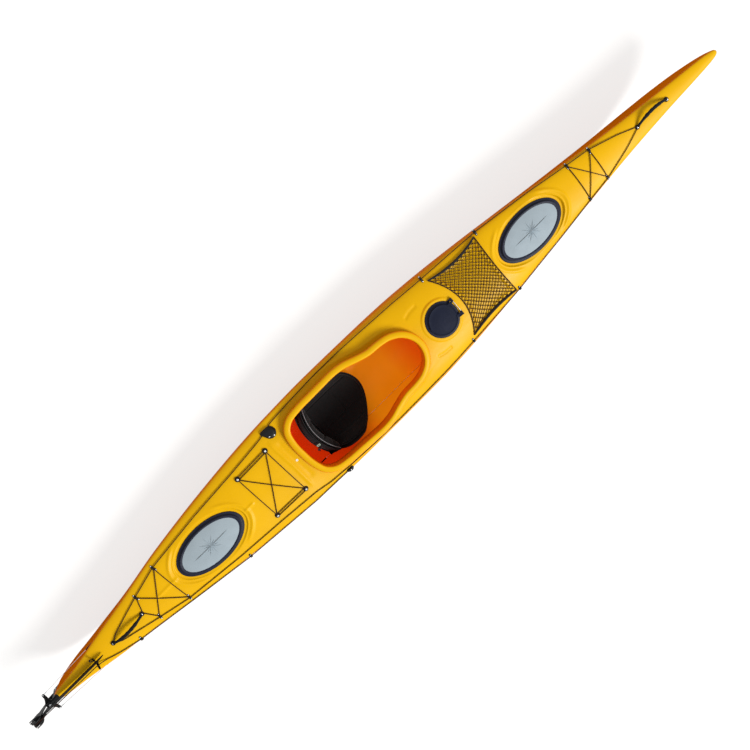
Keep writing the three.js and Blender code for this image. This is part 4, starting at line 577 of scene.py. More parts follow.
def along_lines(x, y, line):
    """Distance from each place to a polyline, and the share along it."""
    best, share = np.full(x.shape, 9.0), np.zeros(x.shape)
    ends = lengths(line)
    ends /= ends[-1]
    for (x0, y0), (x1, y1), start, end in zip(line, line[1:], ends, ends[1:]):
        dx, dy = x1 - x0, y1 - y0
        t = np.clip(((x - x0) * dx + (y - y0) * dy) / (dx * dx + dy * dy), 0, 1)
        d = np.hypot(x - x0 - t * dx, y - y0 - t * dy)
        share = np.where(d < best, start + t * (end - start), share)
        best = np.minimum(best, d)
    return best, share


def net_half(u):
    return NET_AFT_HALF + (NET_FORE_HALF - NET_AFT_HALF) * u - 4 * NET_WAIST * u * (1 - u)


def net_ends(v):
    return NET_AFT - NET_AFT_SWEEP * v * v, NET_FORE + NET_FORE_SWEEP * v * v


def net_point(u, v):
    aft, fore = net_ends(v)
    return aft + (fore - aft) * u, v * net_half(u)


def net_inside(x, y):
    """How far inside the net's outline each place lies."""
    half = net_half(np.clip((x - NET_AFT) / (NET_FORE - NET_AFT), 0, 1))
    aft, fore = net_ends(y / half)
    return np.minimum(np.minimum(x - aft, fore - x), half - np.abs(y))


# Moulded ridges and creases, alike on both sides: route, height, half width
RELIEF = [
    ([(-0.782, 0.200), (-0.776, 0.0), (-0.782, -0.200)], 0.0050, 0.010),
    ([(-0.744, 0.160), (-0.748, 0.0), (-0.744, -0.160)], -0.0034, 0.015),
    ([(-1.075, 0.0), (-1.150, 0.0)], 0.0040, 0.008),
    ([(-1.660, 0.0), (-1.850, 0.0)], 0.0035, 0.010),
    ([(0.235, 0.150), (0.285, 0.165), (0.345, 0.168)], -0.0030, 0.010),
    ([(-0.62, 0.262), (-0.45, 0.276), (-0.25, 0.268), (-0.05, 0.215), (0.10, 0.195), (0.22, 0.150)],
     0.0035, 0.012),
]


def crescents(x, y):
    """Soft raised arcs moulded round the ends of the two oval hatches."""
    lift = np.zeros_like(x)
    for name in ("stern", "bow"):
        hx, along, _, _ = HATCHES[name]
        gap = oval_gap(x, y, name)
        arcs = 0.0042 * bell(gap - 0.050, 0.010) - 0.0022 * bell(gap - 0.030, 0.008)
        lift += arcs * smooth(0.55, 0.9, np.abs(x - hx) / along)
    return lift


def sunk(x, y, z, net_edge, seat_edge, drop=0.0):
    """Lowers a deck surface into the net's recess and the hatches' seats."""
    z = z - NET_SUNK * smooth(*net_edge, net_inside(x, y))
    for name, (_, _, _, seat) in HATCHES.items():
        gap = oval_gap(x, y, name)
        z = np.where(gap < 0.06, seat - drop + (z - seat + drop) * smooth(*seat_edge, gap), z)
    return z


def deck_surface(x, y, breadth):
    """Height of the finished moulding: the plain deck with its ridges, recesses and seats."""
    edge = smooth(0.0, 0.03, breadth - np.abs(y))
    z = deck_height(x, y) + crescents(x, y) * edge
    for line, height, width in RELIEF:
        gap, share = along_lines(x, np.abs(y), line)
        ends = smooth(0, 0.12, share) * smooth(0, 0.12, 1 - share)
        z = z + height * bell(gap, width) * ends * edge
    gap, _ = cockpit_distance(x, y)
    z = z + 0.009 * (1 - smooth(0.006, 0.022, gap)) * (gap < 0.03)
    return sunk(x, y, z, (0.016, 0.030), (0.013, 0.024))


def stations_of(count, outer):
    """Places along the hull, closer together at the hatches and at the ends."""
    fine = np.linspace(-1, 1, 8001)
    density = 0.75 + 0.6 * fine ** 4 + 0.35 * (np.abs(fine * HALF) < 1.8)
    if outer:
        for hx, along, _, _ in HATCHES.values():
            density += 1.5 * (np.abs(fine * HALF - hx) < along + 0.07)
    spent = np.concatenate([[0], np.cumsum((density[1:] + density[:-1]) / 2)])
    return (HALF if outer else HALF - 0.06) * np.interp(np.linspace(0, spent[-1], count), spent, fine)


def deck_openings(points, faces, gap, foot):
    """Leaves out the faces within the openings and draws the points beside them onto the outlines."""
    rim = 0.003
    hidden = gap < rim
    gone = hidden[faces].all(axis=1)
    border = np.unique(faces[~gone][hidden[faces[~gone]]])
    points[border, :2] = ring[foot[border]] + ring_out[foot[border]] * rim
    keep = ~gone
    for name, (hx, along, across, _) in HATCHES.items():
        lip = 0.022 if name == "day" else 0.030
        r = np.hypot((points[:, 0] - hx) / (along - lip), points[:, 1] / (across - lip))
        within = r < 1
        gone = within[faces].all(axis=1)
        part = faces[keep & ~gone]
        near = np.unique(part[within[part]])
        points[near, 0] = hx + (points[near, 0] - hx) / np.maximum(r[near], 1e-6)
        points[near, 1] /= np.maximum(r[near], 1e-6)
        keep &= ~gone
    return faces[keep]


def hull_skin(inset, stations, deck_points, side_points):
    """One closed skin of the moulding, outside or inside, and the number of its faces that are deck."""
    outer = inset == 0
    xs = stations_of(stations, outer)
    columns = (values[:, None] for values in section(xs / HALF, inset))
    breadth, sheer, ridge, keel, across_power, down_power = columns
    even = np.linspace(-1, 1, deck_points)
    t = 0.35 * np.sin(even * math.pi / 2) + 0.65 * even
    x, y = np.repeat(xs[:, None], deck_points, axis=1), breadth * t
    if outer:
        z = deck_surface(x, y, breadth)
    else:
        z = sheer + (ridge - sheer) * np.sqrt(1 - np.minimum(np.abs(t), 1) ** 2)
        z = sunk(x, y, z, (0.010, 0.030), (0.018, 0.030), WALL)
    deck = np.stack([x, y, z], axis=-1)
    gap, foot = cockpit_distance(x, y)
    points = deck.reshape(-1, 3).copy()
    faces = deck_openings(points, weld_grid(deck), gap.ravel(), foot)

    turn = (math.pi / 2) * np.arange(side_points + 1) / side_points
    across = breadth * np.cos(turn) ** (2 / across_power)
    down = np.maximum(sheer - (sheer - keel) * np.sin(turn) ** (2 / down_power), inset)
    along = np.repeat(xs[:, None], side_points + 1, axis=1)
    right, left = (np.stack([along, sign * across, down], axis=-1) for sign in (-1, 1))
    parts = [(points, faces), (right.reshape(-1, 3), weld_grid(right)[:, ::-1]),
             (left.reshape(-1, 3), weld_grid(left))]
    # The narrow first and last sections are closed with fans
    for row in (0, -1):
        loop = np.concatenate([deck[row], left[row, 1:], right[row, -2:0:-1]])
        count = len(loop)
        fan = [(j, (j + 1) % count, count, count) for j in range(count)]
        parts.append((np.concatenate([loop, loop.mean(axis=0)[None]]), fan))
    return *stacked(parts), len(faces)


def coaming_ring(steps):
    """The rolled coaming: outwards and down from its top in millimetres; None is the deck's level."""
    profile = [(0.2, None), (0, -30), (0, -12), (1.2, -4.5), (4.5, -1.2), (10, 0), (20, 0.2), (29, -2.2),
               (35.5, -5.8), (39.2, -9.8), (40, -12.5), (38.5, -14.2), (35.5, -13.8), (33, -10.5),
               (27, -7.5), (16, -6.2), (10, -8.5), (7, -14), (6.2, -26), (6, None)]
    loop, out = cockpit_loop(steps)
    ahead = (loop[:, 0] - COCKPIT_BACK) / (COCKPIT_FRONT - COCKPIT_BACK)
    top = COAMING_BACK + (COAMING_FRONT - COAMING_BACK) * ahead
    root = deck_height(loop[:, 0], loop[:, 1]) - COAMING_ROOT
    rows = []
    for away, drop in profile:
        z = root if drop is None else np.maximum(top + drop * MM, root + 0.002)
        rows.append(np.concatenate([loop + out * away * MM, z[:, None]], axis=1))
    grid = np.stack(rows, axis=1)
    quads = weld_grid(grid, True, True)
    return grid.reshape(-1, 3), quads, len(quads)


def make_hull():
    skins = [(hull_skin(0.0, 1100, 141, 22), 0, 2), (hull_skin(WALL, 240, 61, 16), 1, 1),
             (coaming_ring(300), 0, 0)]
    points, quads = stacked([skin[:2] for skin, _, _ in skins])
    index = []
    for (_, faces, above), deck, below in skins:
        index += [deck] * above + [below] * (len(faces) - above)
    faces = [tuple(dict.fromkeys(quad)) for quad in quads.tolist()]
    keep = [i for i, face in enumerate(faces) if len(face) > 2]
    faces, index = [faces[i] for i in keep], [index[i] for i in keep]
    finish(tidied(mesh_object("hull", points, faces, [HULL, INSIDE_GLOW, FLANK], index)), "hull_shell")


make_hull()

# Oval hatches
RIM_TURN = mm([(0, 0), (0, 2.8), (1.2, 4.2), (3.5, 5), (8, 5.4), (15, 5.8), (18.2, 7.2), (19.6, 10),
               (20.4, 12.4), (22, 13), (23.8, 12.8), (24.8, 11.5), (25.2, 6), (30, 3.6), (30, 0)])
GAP = 0.0003


def star(x, y, along, across):
    """Height of the raised rays of the star moulded in an oval cover."""
    rays = [(along * 0.60, 0.0, 0.0046, 0.0044), (across * 0.50, math.pi / 2, 0.0040, 0.0036)]
    rays += [(across * 0.54, turn, 0.0038, 0.0034) for turn in (math.pi / 4, -math.pi / 4)]
    rays += [(across * 0.36, turn * math.pi / 8, 0.0026, 0.0028) for turn in (1, -1, 3, -3)]
    z = np.zeros_like(x)
    for length, turn, height, width in rays:
        p, q = x * math.cos(turn) + y * math.sin(turn), y * math.cos(turn) - x * math.sin(turn)
        fade = np.clip(1 - np.abs(p) / length, 0, 1)
        thin = width * (0.25 + 0.75 * fade)
        z = np.maximum(z, height * np.minimum(fade * 3, 1) * np.clip(1 - np.abs(q) / thin, 0, 1))
    return z


def make_cover(name, hx, along, across, seat):
    """Elastic cover: a dark band over the rim and a pale crowned middle with its star."""
    fit, shoulder, sides, band = 0.0192, 0.0090, 420, 8
    profile = [(fit + a, z) for a, z in mm([(0, 4.3), (0, 11.8), (-1, 14.5), (-2.6, 15.8), (-2.6, 15.8),
                                            (1, 16.6), (4.2, 16), (6.2, 14.8), (9, 14.6)])]
    for share in np.linspace(0, 1, 60)[1:]:
        profile.append((fit + shoulder + (across - fit - shoulder) * share * 0.999,
                        0.0146 + 0.0090 * (1 - (1 - share) ** 2)))
    rows = []
    for inset, height in profile:
        left = 1 - max(0.0, (inset - fit) / (across - fit))
        out = max(0.0, fit - inset)
        place = (hx, 0, seat + GAP + height)
        rows.append(ring_of((along - fit) * left + out, (across - fit) * left + out, place, sides))
    grid = np.array(rows)
    grid[band:, :, 2] += star(grid[band:, :, 0] - hx, grid[band:, :, 1], along, across)
    index = np.repeat(np.where(np.arange(len(grid) - 1) < band, 1, 0), sides)
    obj = mesh_object(name, grid.reshape(-1, 3), weld_grid(grid, True), [COVER, RIM], index)
    solid = obj.modifiers.new("thickness", "SOLIDIFY")
    solid.thickness, solid.offset = 0.0024, -1
    return tidied(obj)


for hatch in ("bow", "stern"):
    hx, along, across, seat = HATCHES[hatch]
    finish(turned(f"{hatch}_rim", along, across, RIM_TURN, (hx, 0, seat + GAP), RIM, closed=True),
           f"{hatch}_hatch_rim")
    cover = make_cover(f"{hatch}_cover", hx, along, across, seat)
    finish(cover, f"{hatch}_hatch_cover", f"{hatch}_cover_body")


# Cords
def tube(name, path, radius, mat, sides=10, flat=1.0, caps=True):
    """Round cord with lengthwise and round texture coordinates."""
    path = np.asarray(path, float)
    ahead = np.gradient(path, axis=0)
    ahead /= np.maximum(np.linalg.norm(ahead, axis=1, keepdims=True), 1e-9)
    up = np.tile([0.0, 0.0, 1.0], (len(path), 1))
    up[np.abs(ahead[:, 2]) > 0.95] = [1.0, 0.0, 0.0]
    side = np.cross(ahead, up)
    side /= np.linalg.norm(side, axis=1, keepdims=True)
    up = np.cross(side, ahead)
    turn = (2 * math.pi * np.arange(sides) / sides)[None, :, None]
    radius = np.broadcast_to(np.asarray(radius, float), (len(path),))[:, None, None]
    grid = path[:, None] + radius * (np.cos(turn) * side[:, None] + flat * np.sin(turn) * up[:, None])
    obj = loft(name, grid, mat, 2 if caps else 0)
    along = lengths(path)
    loops = np.zeros(len(obj.data.loops), dtype=np.int32)
    obj.data.loops.foreach_get("vertex_index", loops)
    around = (loops % sides) / sides
    quads = around[:4 * sides * (len(path) - 1)].reshape(-1, 4)
    quads += (quads < 0.5) & (quads.max(axis=1) - quads.min(axis=1) > 0.5)[:, None]
    layer = obj.data.uv_layers.new(name="cord")
    layer.data.foreach_set("uv", np.stack([along[loops // sides], around], axis=1).ravel())
    return obj


CORD_RADIUS, CORD_RISE, OUT = 0.0025, 0.005, 0.0044
EYES = {name: (a * HALF, b * HALF_BEAM) for name, (a, b) in {
    "deck_eye_1": (-0.729, 0.298), "deck_eye_2": (-0.659, 0.457), "deck_eye_3": (-0.401, 0.536),
    "deck_eye_4": (-0.317, 0.556), "deck_eye_5": (0.581, 0.404), "deck_eye_6": (0.641, 0.328),
    "net_eye_aft": (0.1777, 0.815), "net_eye_fore": (0.3338, 0.722)}.items()}
UPHAUL = [(-0.556, 0.288), (-0.830, 0.278), (-1.320, 0.234), (-1.700, 0.172), (-2.058, 0.108),
          (-2.190, 0.066), (-2.270, 0.034)]


def lay(corners, step=0.012):
    """A cord's path straight from corner to corner over the deck."""
    out = []
    for (x0, y0), (x1, y1) in zip(corners, corners[1:]):
        count = max(2, int(math.hypot(x1 - x0, y1 - y0) / step))
        out += [(x0 + (x1 - x0) * k / count, y0 + (y1 - y0) * k / count) for k in range(count)]
    out.append(corners[-1])
    return np.array([(x, y, float(deck_height(x, y))) + deck_normal(x, y) * CORD_RISE for x, y in out])


def eye(number, sign=1, shift=-OUT):
    x, y = EYES[f"deck_eye_{number}"]
    return x, sign * (y + shift)


def soften(path, times=2):
    path = path.copy()
    for _ in range(times):
        path[1:-1] = path[1:-1] / 2 + (path[:-2] + path[2:]) / 4
    return path


DECK_LINE = [(-2.154, 0.005), (-2.120, 0.028), eye(1, 1, OUT), eye(2, 1, OUT), (-1.353, 0.184),
             (-1.043, 0.208), (-0.800, 0.232), (-0.700, 0.256), (-0.555, 0.268), (-0.344, 0.277),
             (-0.159, 0.277), (0.0, 0.272), (0.250, 0.262), EYES["net_eye_aft"], (0.670, 0.233),
             EYES["net_eye_fore"], (1.250, 0.168), eye(5, 1, OUT), eye(6, 1, OUT), (1.850, 0.050),
             (1.964, 0.005)]


def crossed(a, b):
    """Strands of a bungee rigged as a cross between two pairs of eyes, with one strand over each pair."""
    return [[eye(a), eye(b, -1)], [eye(a, -1), eye(b)], [eye(a), eye(a, -1)], [eye(b), eye(b, -1)]]


STRANDS = {
    "stern_bungee": [[(-1.936, 0), eye(1), eye(2, -1)], [(-1.936, 0), eye(1, -1), eye(2)],
                     [eye(2), eye(2, -1)]],
    "rear_deck_bungee": crossed(3, 4) + [[eye(3, sign, shift), eye(4, sign, shift)] for sign in (1, -1)
                                         for shift in (0.006, -0.009)],
    "bow_bungee": crossed(5, 6),
}
for sign, word in SIDES:
    line = lay([(x, sign * y) for x, y in DECK_LINE])
    finish(tube(f"line_{word}", soften(line), CORD_RADIUS, CORD), f"deck_line_{word}")
for name, strands in STRANDS.items():
    pieces = [tube(f"{name}_{i}", lay(corners), CORD_RADIUS, CORD) for i, corners in enumerate(strands)]
    finish(joined(f"{name}_cords", pieces), name)


# Deck net
def make_net():
    """Knotted diamond net with plain ends and rolled hems."""
    rows, columns, rise = 22, 30, 0.0042

    def over(places, rise):
        return np.array([(x, y, float(deck_height(x, y)) + rise) for x, y in places])

    def knot_at(i, j):
        return over([net_point(i / rows, 2 * j / columns - 1)], rise)[0]
    cords = []
    for start in range(1 - rows, columns, 2):
        for lean in (1, -1):
            across = [start + i if lean == 1 else start + rows - i for i in range(rows + 1)]
            line = [knot_at(i, j) for i, j in enumerate(across) if 0 <= j <= columns]
            if len(line) > 1:
                cords.append(np.array(line))
    pieces = [tube(f"net_{number}", resample(line, max(3, 3 * len(line) - 2)), 0.0018, CORD, sides=6)
              for number, line in enumerate(cords)]
    work = bmesh.new()
    for i in range(rows + 1):
        for j in range((i + 1) % 2, columns + 1, 2):
            squashed = Matrix.Translation(knot_at(i, j)) @ Matrix.Diagonal((1.15, 1, 0.8, 1))
            bmesh.ops.create_icosphere(work, subdivisions=2, radius=0.0034, matrix=squashed)
    mesh = bpy.data.meshes.new("net_knots")
    work.to_mesh(mesh)
    work.free()
    mesh.materials.append(CORD)
    pieces.append(creased(link(bpy.data.objects.new("net_knots", mesh)), 180))
    for u in (0, 1):
        edge = over([net_point(u, v) for v in np.linspace(-1, 1, 60)], rise)
        pieces.append(tube(f"net_edge_{u}", edge, 0.0026, CORD))
    for sign in (1, -1):
        u = np.linspace(0, 1, 80)
        edge = over([net_point(share, sign) for share in u], rise)
        thick = 0.0036 + 0.0044 * np.sin(np.pi * u) ** 0.6
        edge[:, 2] += thick * 0.4
        pieces.append(tube(f"net_hem_{sign}", edge, thick, HEM, sides=16, flat=0.8))
    finish(joined("net_mesh", pieces), "deck_net")


make_net()


# Deck fittings
def deck_matrix(x, y, ahead):
    """Frame of a fitting on the deck: X in the wanted direction, Z out of the deck."""
    up, along = Vector(deck_normal(x, y)), Vector((*ahead, 0))
    along = (along - up * along.dot(up)).normalized()
    matrix = Matrix((along, up.cross(along), up)).transposed().to_4x4()
    matrix.translation = (x, y, float(deck_height(x, y)))
    return matrix


def across_edge(x, y):
    """Frame with X across a cord that follows the deck's edge."""
    reach = 0.042
    ahead = (CURVES[0]((x + reach) / HALF) - CURVES[0]((x - reach) / HALF)) * HALF_BEAM / (2 * reach)
    turn = math.atan(ahead * (1 if y > 0 else -1))
    return deck_matrix(x, y, (math.cos(turn), math.sin(turn))) @ SIDEWAYS


# Radius and height of the screw heads
SCREWS = {"eye": (0.0036, 0.0020), "dome": (0.0066, 0.0042), "handle": (0.0062, 0.0030),
          "yoke": (0.0042, 0.0022), "bracket": (0.0032, 0.0018), "line_cleat": (0.0042, 0.0022),
          "uphaul_cleat": (0.0040, 0.0022)}


def screw(name, size, place, normal, body="hull_body"):
    """Domed screw head with a cross recess."""
    radius, height = SCREWS[size]
    rings, sides = 9, 32
    turn = 2 * math.pi * np.arange(sides) / sides
    share = np.arange(1, rings + 1)[:, None] / rings
    x, y = radius * share * np.cos(turn), radius * share * np.sin(turn)
    recess = (np.minimum(np.abs(x), np.abs(y)) < radius * 0.13) & (share < 0.62)
    z = height * np.sqrt(1 - 0.92 * share ** 2) - recess * height / 2
    skirt = np.stack([x[-1], y[-1], np.full(sides, -0.001)], axis=1)
    grid = np.concatenate([np.stack([x, y, z], axis=-1), skirt[None]])
    centre = len(grid) * sides
    faces = weld_grid(grid, True).tolist() + [(centre, k, (k + 1) % sides) for k in range(sides)]
    obj = mesh_object(name, np.concatenate([grid.reshape(-1, 3), [(0, 0, height / 2)]]), faces, STEEL)
    placed(obj, Matrix.Translation(place) @ Vector(normal).to_track_quat("Z", "X").to_matrix().to_4x4())
    finish(obj, None, body)


def deck_screw(name, size, matrix, place):
    screw(name, size, matrix @ Vector(place), matrix.col[2].xyz)


OVER = [(-21, -4), (-21, 1.6), (-20.2, 2.2), (-14, 2.4), (-11.2, 3.4), (-9.8, 6.2), (-8.6, 9.2),
        (-6.4, 11.2)]
UNDER = [(8.4, -4), (8.2, 5.5), (6.8, 8), (4, 9.2)]
BRIDGE = mm(OVER + [(0, 12)] + flipped(OVER) + UNDER + flipped(UNDER))
BUTTON = mm([(0, -4), (0, 2), (0.8, 3.2), (2.2, 4), (3, 5.6), (3, 8.6), (4, 10.4), (6.4, 11.4), (10, 11.7),
             (15.9, 11.8)])
PLUG = mm([(0, -3), (0, 1.2), (1, 2.2), (3, 2.4), (3.6, 1.6), (7.4, 1.5)])


def fitted_eye(label, x, y, node):
    """Saddle over the cords, with a rounded screw pad at each end."""
    matrix = across_edge(x, y)
    wide = 0.0065 * (1 - 0.42 * smooth(0.0150, 0.0212, np.abs(np.array(BRIDGE)[:, 0])))
    finish(softened(placed(prism(f"{label}_saddle", BRIDGE, -wide, wide, BLACK), matrix), 0.0008), node)
    for number, a in enumerate((-0.0168, 0.0168)):
        deck_screw(f"{label}_screw_{number}", "eye", matrix, (a, 0, 0.0022))


def button_eye(label, x, y, node):
    """Round fitting at a corner of the rear bungee: a black button with a bright domed head."""
    matrix = across_edge(x, y)
    button = turned(f"{label}_button", 0.016, 0.016, BUTTON, (0, 0, 0), BLACK, sides=64)
    finish(placed(button, matrix), node)
    deck_screw(f"{label}_dome", "dome", matrix, (0, 0, 0.0116))


for name, (x, y) in EYES.items():
    for sign, word in SIDES:
        fitting = button_eye if name in ("deck_eye_3", "deck_eye_4") else fitted_eye
        fitting(f"{name}_{word[0]}", x, sign * y, f"{name}_{word}")
plug_matrix = Matrix.Translation((0, 0, -0.0026)) @ deck_matrix(-0.740, -0.006, (1, 0))
finish(placed(turned("deck_plug", 0.0075, 0.0075, PLUG, (0, 0, 0), WHITE, sides=40), plug_matrix))
for label, spot in (("fore", 2), ("aft", 4)):
    fitted_eye(f"guide_{label}", UPHAUL[spot][0], -UPHAUL[spot][1], f"uphaul_guide_{label}")


# Carry handles
def make_handle(name, start, end, rise, bow, node):
    """Soft arched grip with finger swellings, tapering to a screwed pad at each end."""
    t = np.linspace(0, 1, 91)
    arch = np.sin(math.pi * t).clip(0) ** 0.8
    x = start + (end - start) * t
    path = np.stack([x, bow * arch, deck_height(x, 0) + 0.0055 + rise * arch], axis=1)
    grip = smooth(0.16, 0.28, t) * smooth(0.16, 0.28, 1 - t)
    thick = 0.0076 + 0.0026 * grip + 0.0007 * grip * np.sin(t * math.pi * 14)
    pieces = [tube(name, path, thick, RUBBER, sides=20, flat=0.9)]
    for number, x in enumerate((start, end)):
        base = float(deck_height(x, 0))
        pad = mm([(13.8, -4), (13.8, 4), (12.8, 7.2), (10.8, 9.2), (7, 10.4)])
        rows = [ring_of(r, r, (x, 0, base + z), 32) for r, z in pad]
        pieces.append(loft(f"{name}_pad_{number}", rows, RUBBER, 1))
        screw(f"{name}_screw_{number}", "handle", (x, 0, base + 0.0100), (0, 0, 1))
    finish(tidied(joined(name, pieces)), node)


make_handle("stern_handle", -2.161, -1.944, 0.032, -0.006, "stern_carry_handle")
make_handle("bow_handle", 1.970, 2.199, 0.026, 0.026, "bow_carry_handle")

# Day hatch
DAY_X, DAY_R, _, DAY_SEAT = HATCHES["day"]
HINGE_X, HINGE_Z = 0.112, 0.009
DAY_RIM = mm([(0, 0), (0, 2.2), (1.8, 4), (6, 5.4), (13.8, 5.7), (14.6, 6.4), (15, 11.8), (15.8, 12.8),
              (17.5, 13), (19.2, 12.6), (20, 11.6), (20, 3.4), (11.8, 3.4), (11.8, 0)])
DAY_LID = mm([(18.8, 8.8), (15.8, 8.8), (15.6, 10), (15.8, 13.5), (16.2, 16), (17.4, 18.2), (19.4, 19.2),
              (21.6, 18.8), (22.8, 17.8), (24.8, 17.6), (40, 19), (60, 20.2), (80, 21), (105.5, 21.3)])
DAY_TAB = mm([(-92, 14.2), (-92, 17.8), (-86, 18.6), (-80, 17.8), (-80, 14.2)])


def make_day_hatch():
    """Ring with two hinge ears, and the lid with two arms round the pin and a finger tab."""
    base, half = (DAY_X, 0, DAY_SEAT + GAP), 0.0058
    ear = [(0.079, 0.0), (HINGE_X + 0.005, 0.0)] + arc(HINGE_X, HINGE_Z, 0.005, 0, 130) + [(0.083, 0.0045)]
    arm = [(0.070, 0.0140), (HINGE_X - 0.004, 0.0120)] + arc(HINGE_X, HINGE_Z, 0.0048, 150, 400, 12)
    arm += [(0.084, 0.0196), (0.070, 0.0200)]
    ring_parts = [turned("day_rim", DAY_R, DAY_R, DAY_RIM, base, RIM, closed=True)]
    lid_parts = [turned("day_lid_disc", DAY_R, DAY_R, DAY_LID, base, SLATE)]
    for sign, word in SIDES:
        at_ear, at_arm = sign * 0.056, sign * 0.0432
        ring_parts.append(prism(f"day_ear_{word}", ear, at_ear - half, at_ear + half, RIM, base))
        lid_parts.append(prism(f"day_arm_{word}", arm, at_arm - half, at_arm + half, SLATE, base))
    lid_parts.append(prism("day_tab", DAY_TAB, -0.014, 0.014, SLATE, base))
    finish(joined("day_rim_ring", ring_parts), "day_hatch_rim")
    finish(joined("day_lid", lid_parts), "day_hatch_lid", "day_lid_body")


make_day_hatch()

# Seat: dished pan on two skids, its cushion, and the padded backrest band
SEAT_BACK, SEAT_LENGTH, SEAT_HALF, SEAT_ROUND = -0.590, 0.415, 0.68 * HALF_BEAM, 0.135
SEAM_WIDTH, SEAM_DEPTH = 0.0042, 0.0062
BACK_HALF, BACK_LOW, BACK_TALL = 0.62 * HALF_BEAM, 0.136, 0.104
BACK_LEAN, BACK_CURVE = 0.14, 0.055
HINGE, LUG_R, LUG_Y = (-0.5681, 0.126), 0.011, 0.128


def seat_height(u, v):
    hip = np.abs(np.sin(np.pi * np.clip((u - 0.22) / 0.78, 0, 1))) ** 0.6
    front, back = np.clip((u - 0.55) / 0.45, 0, None) ** 2, np.clip((0.3 - u) / 0.3, 0, None) ** 2
    return 0.042 + 0.085 * np.abs(v) ** 3 + 0.112 * hip * v ** 4 + 0.034 * front + 0.060 * back


def seat_share(x, y):
    """Shares along and across the seat at a place."""
    v = y / SEAT_HALF
    return np.clip((x - SEAT_BACK) / (SEAT_LENGTH - SEAT_ROUND * v * v), 0, 1), v


def rounded(u, v):
    """Draws the corners of a u, v patch in, so that its outline is round."""
    return v * (1 - 0.085 * smooth(0.80, 1.0, u) ** 2 - 0.10 * smooth(0.22, 0.0, u) ** 2)


def steepness(u, v):
    """How much taller an upright step has to be, for one thickness square to the seat's surface."""
    slope = (seat_height(u, v + 0.01) - seat_height(u, v - 0.01)) / (0.02 * SEAT_HALF)
    return np.sqrt(1 + slope * slope)


def seat_surface(u, w, lift):
    x = SEAT_BACK + (SEAT_LENGTH - SEAT_ROUND * w * w) * u
    return np.stack([x, w * SEAT_HALF, seat_height(u, w) + lift], axis=-1)


def patch(rows, columns, high, low):
    """Closed body between two surfaces over the same u, v grid, with its border loop of places."""
    u, v = np.meshgrid(np.linspace(0, 1, rows), np.linspace(-1, 1, columns), indexing="ij")
    faces, count = weld_grid(u), rows * columns
    index = np.arange(count).reshape(rows, columns)
    border = np.concatenate([index[:-1, 0], index[-1, :-1], index[:0:-1, -1], index[0, :0:-1]])
    after = np.roll(border, -1)
    wall = np.stack([border, after, after + count, border + count], axis=-1)
    verts = np.concatenate([high(u, v).reshape(-1, 3), low(u, v).reshape(-1, 3)])
    return verts, np.concatenate([faces, faces[:, ::-1] + count, wall]), verts[np.append(border, border[:2])]


def hull_floor(x, y):
    """Height of the hull's inner face under a place."""
    breadth, sheer, _, keel, across_power, down_power = section(x / HALF, WALL)
    turn = np.clip(np.abs(y) / breadth, 0, 1) ** (across_power / 2)
    return np.maximum(sheer - (sheer - keel) * (1 - turn * turn) ** (1 / down_power), WALL)


def make_pan():
    def face(lift):
        def surface(u, v):
            w = rounded(u, v)
            ribs = 0.0010 * np.sin(14 * np.pi * u) ** 8 * smooth(0.90, 0.97, np.abs(v))
            return seat_surface(u, w, lift * (1 + 1.2 * np.abs(w) ** 3) + ribs)
        return surface
    verts, faces, edge = patch(90, 120, face(0.0), face(-0.004))
    pieces = [tidied(mesh_object("seat_pan_shell", verts, faces, FOAM))]
    edge[:, 2] -= 0.0022
    pieces.append(tube("seat_pan_lip", resample(edge, 420), 0.0036, FOAM, sides=10, caps=False))
    lug = [(0.041, 0.086), (LUG_R, HINGE[1])] + arc(0, HINGE[1], LUG_R, 0, 180, 14) + [(-LUG_R, 0.092)]
    for sign, word in SIDES:
        across = np.linspace(sign * 0.082, sign * 0.108, 7)
        rows = []
        for x in np.linspace(SEAT_BACK + 0.120, SEAT_BACK + SEAT_LENGTH - 0.105, 30):
            u = min((x - SEAT_BACK) / SEAT_LENGTH * 1.07, 0.9)
            row = [(x, y, float(seat_height(u, y / SEAT_HALF)) - 0.003) for y in across]
            rows.append(row + [(x, y, float(hull_floor(x, y)) + 0.0008) for y in reversed(across)])
        pieces.append(creased(tidied(loft(f"skid_{word}", rows, FOAM)), 35))
        pieces.append(prism(f"seat_lug_{word}", lug, -0.004, 0.004, FOAM, (HINGE[0], sign * LUG_Y, 0)))
    finish(joined("seat_pan_moulding", pieces), "seat_pan")


def vertex_places(obj):
    places = np.zeros(len(obj.data.vertices) * 3)
    obj.data.vertices.foreach_get("co", places)
    return places.reshape(-1, 3)


def reshaped(obj, places):
    obj.data.vertices.foreach_set("co", places.ravel())
    obj.data.update()


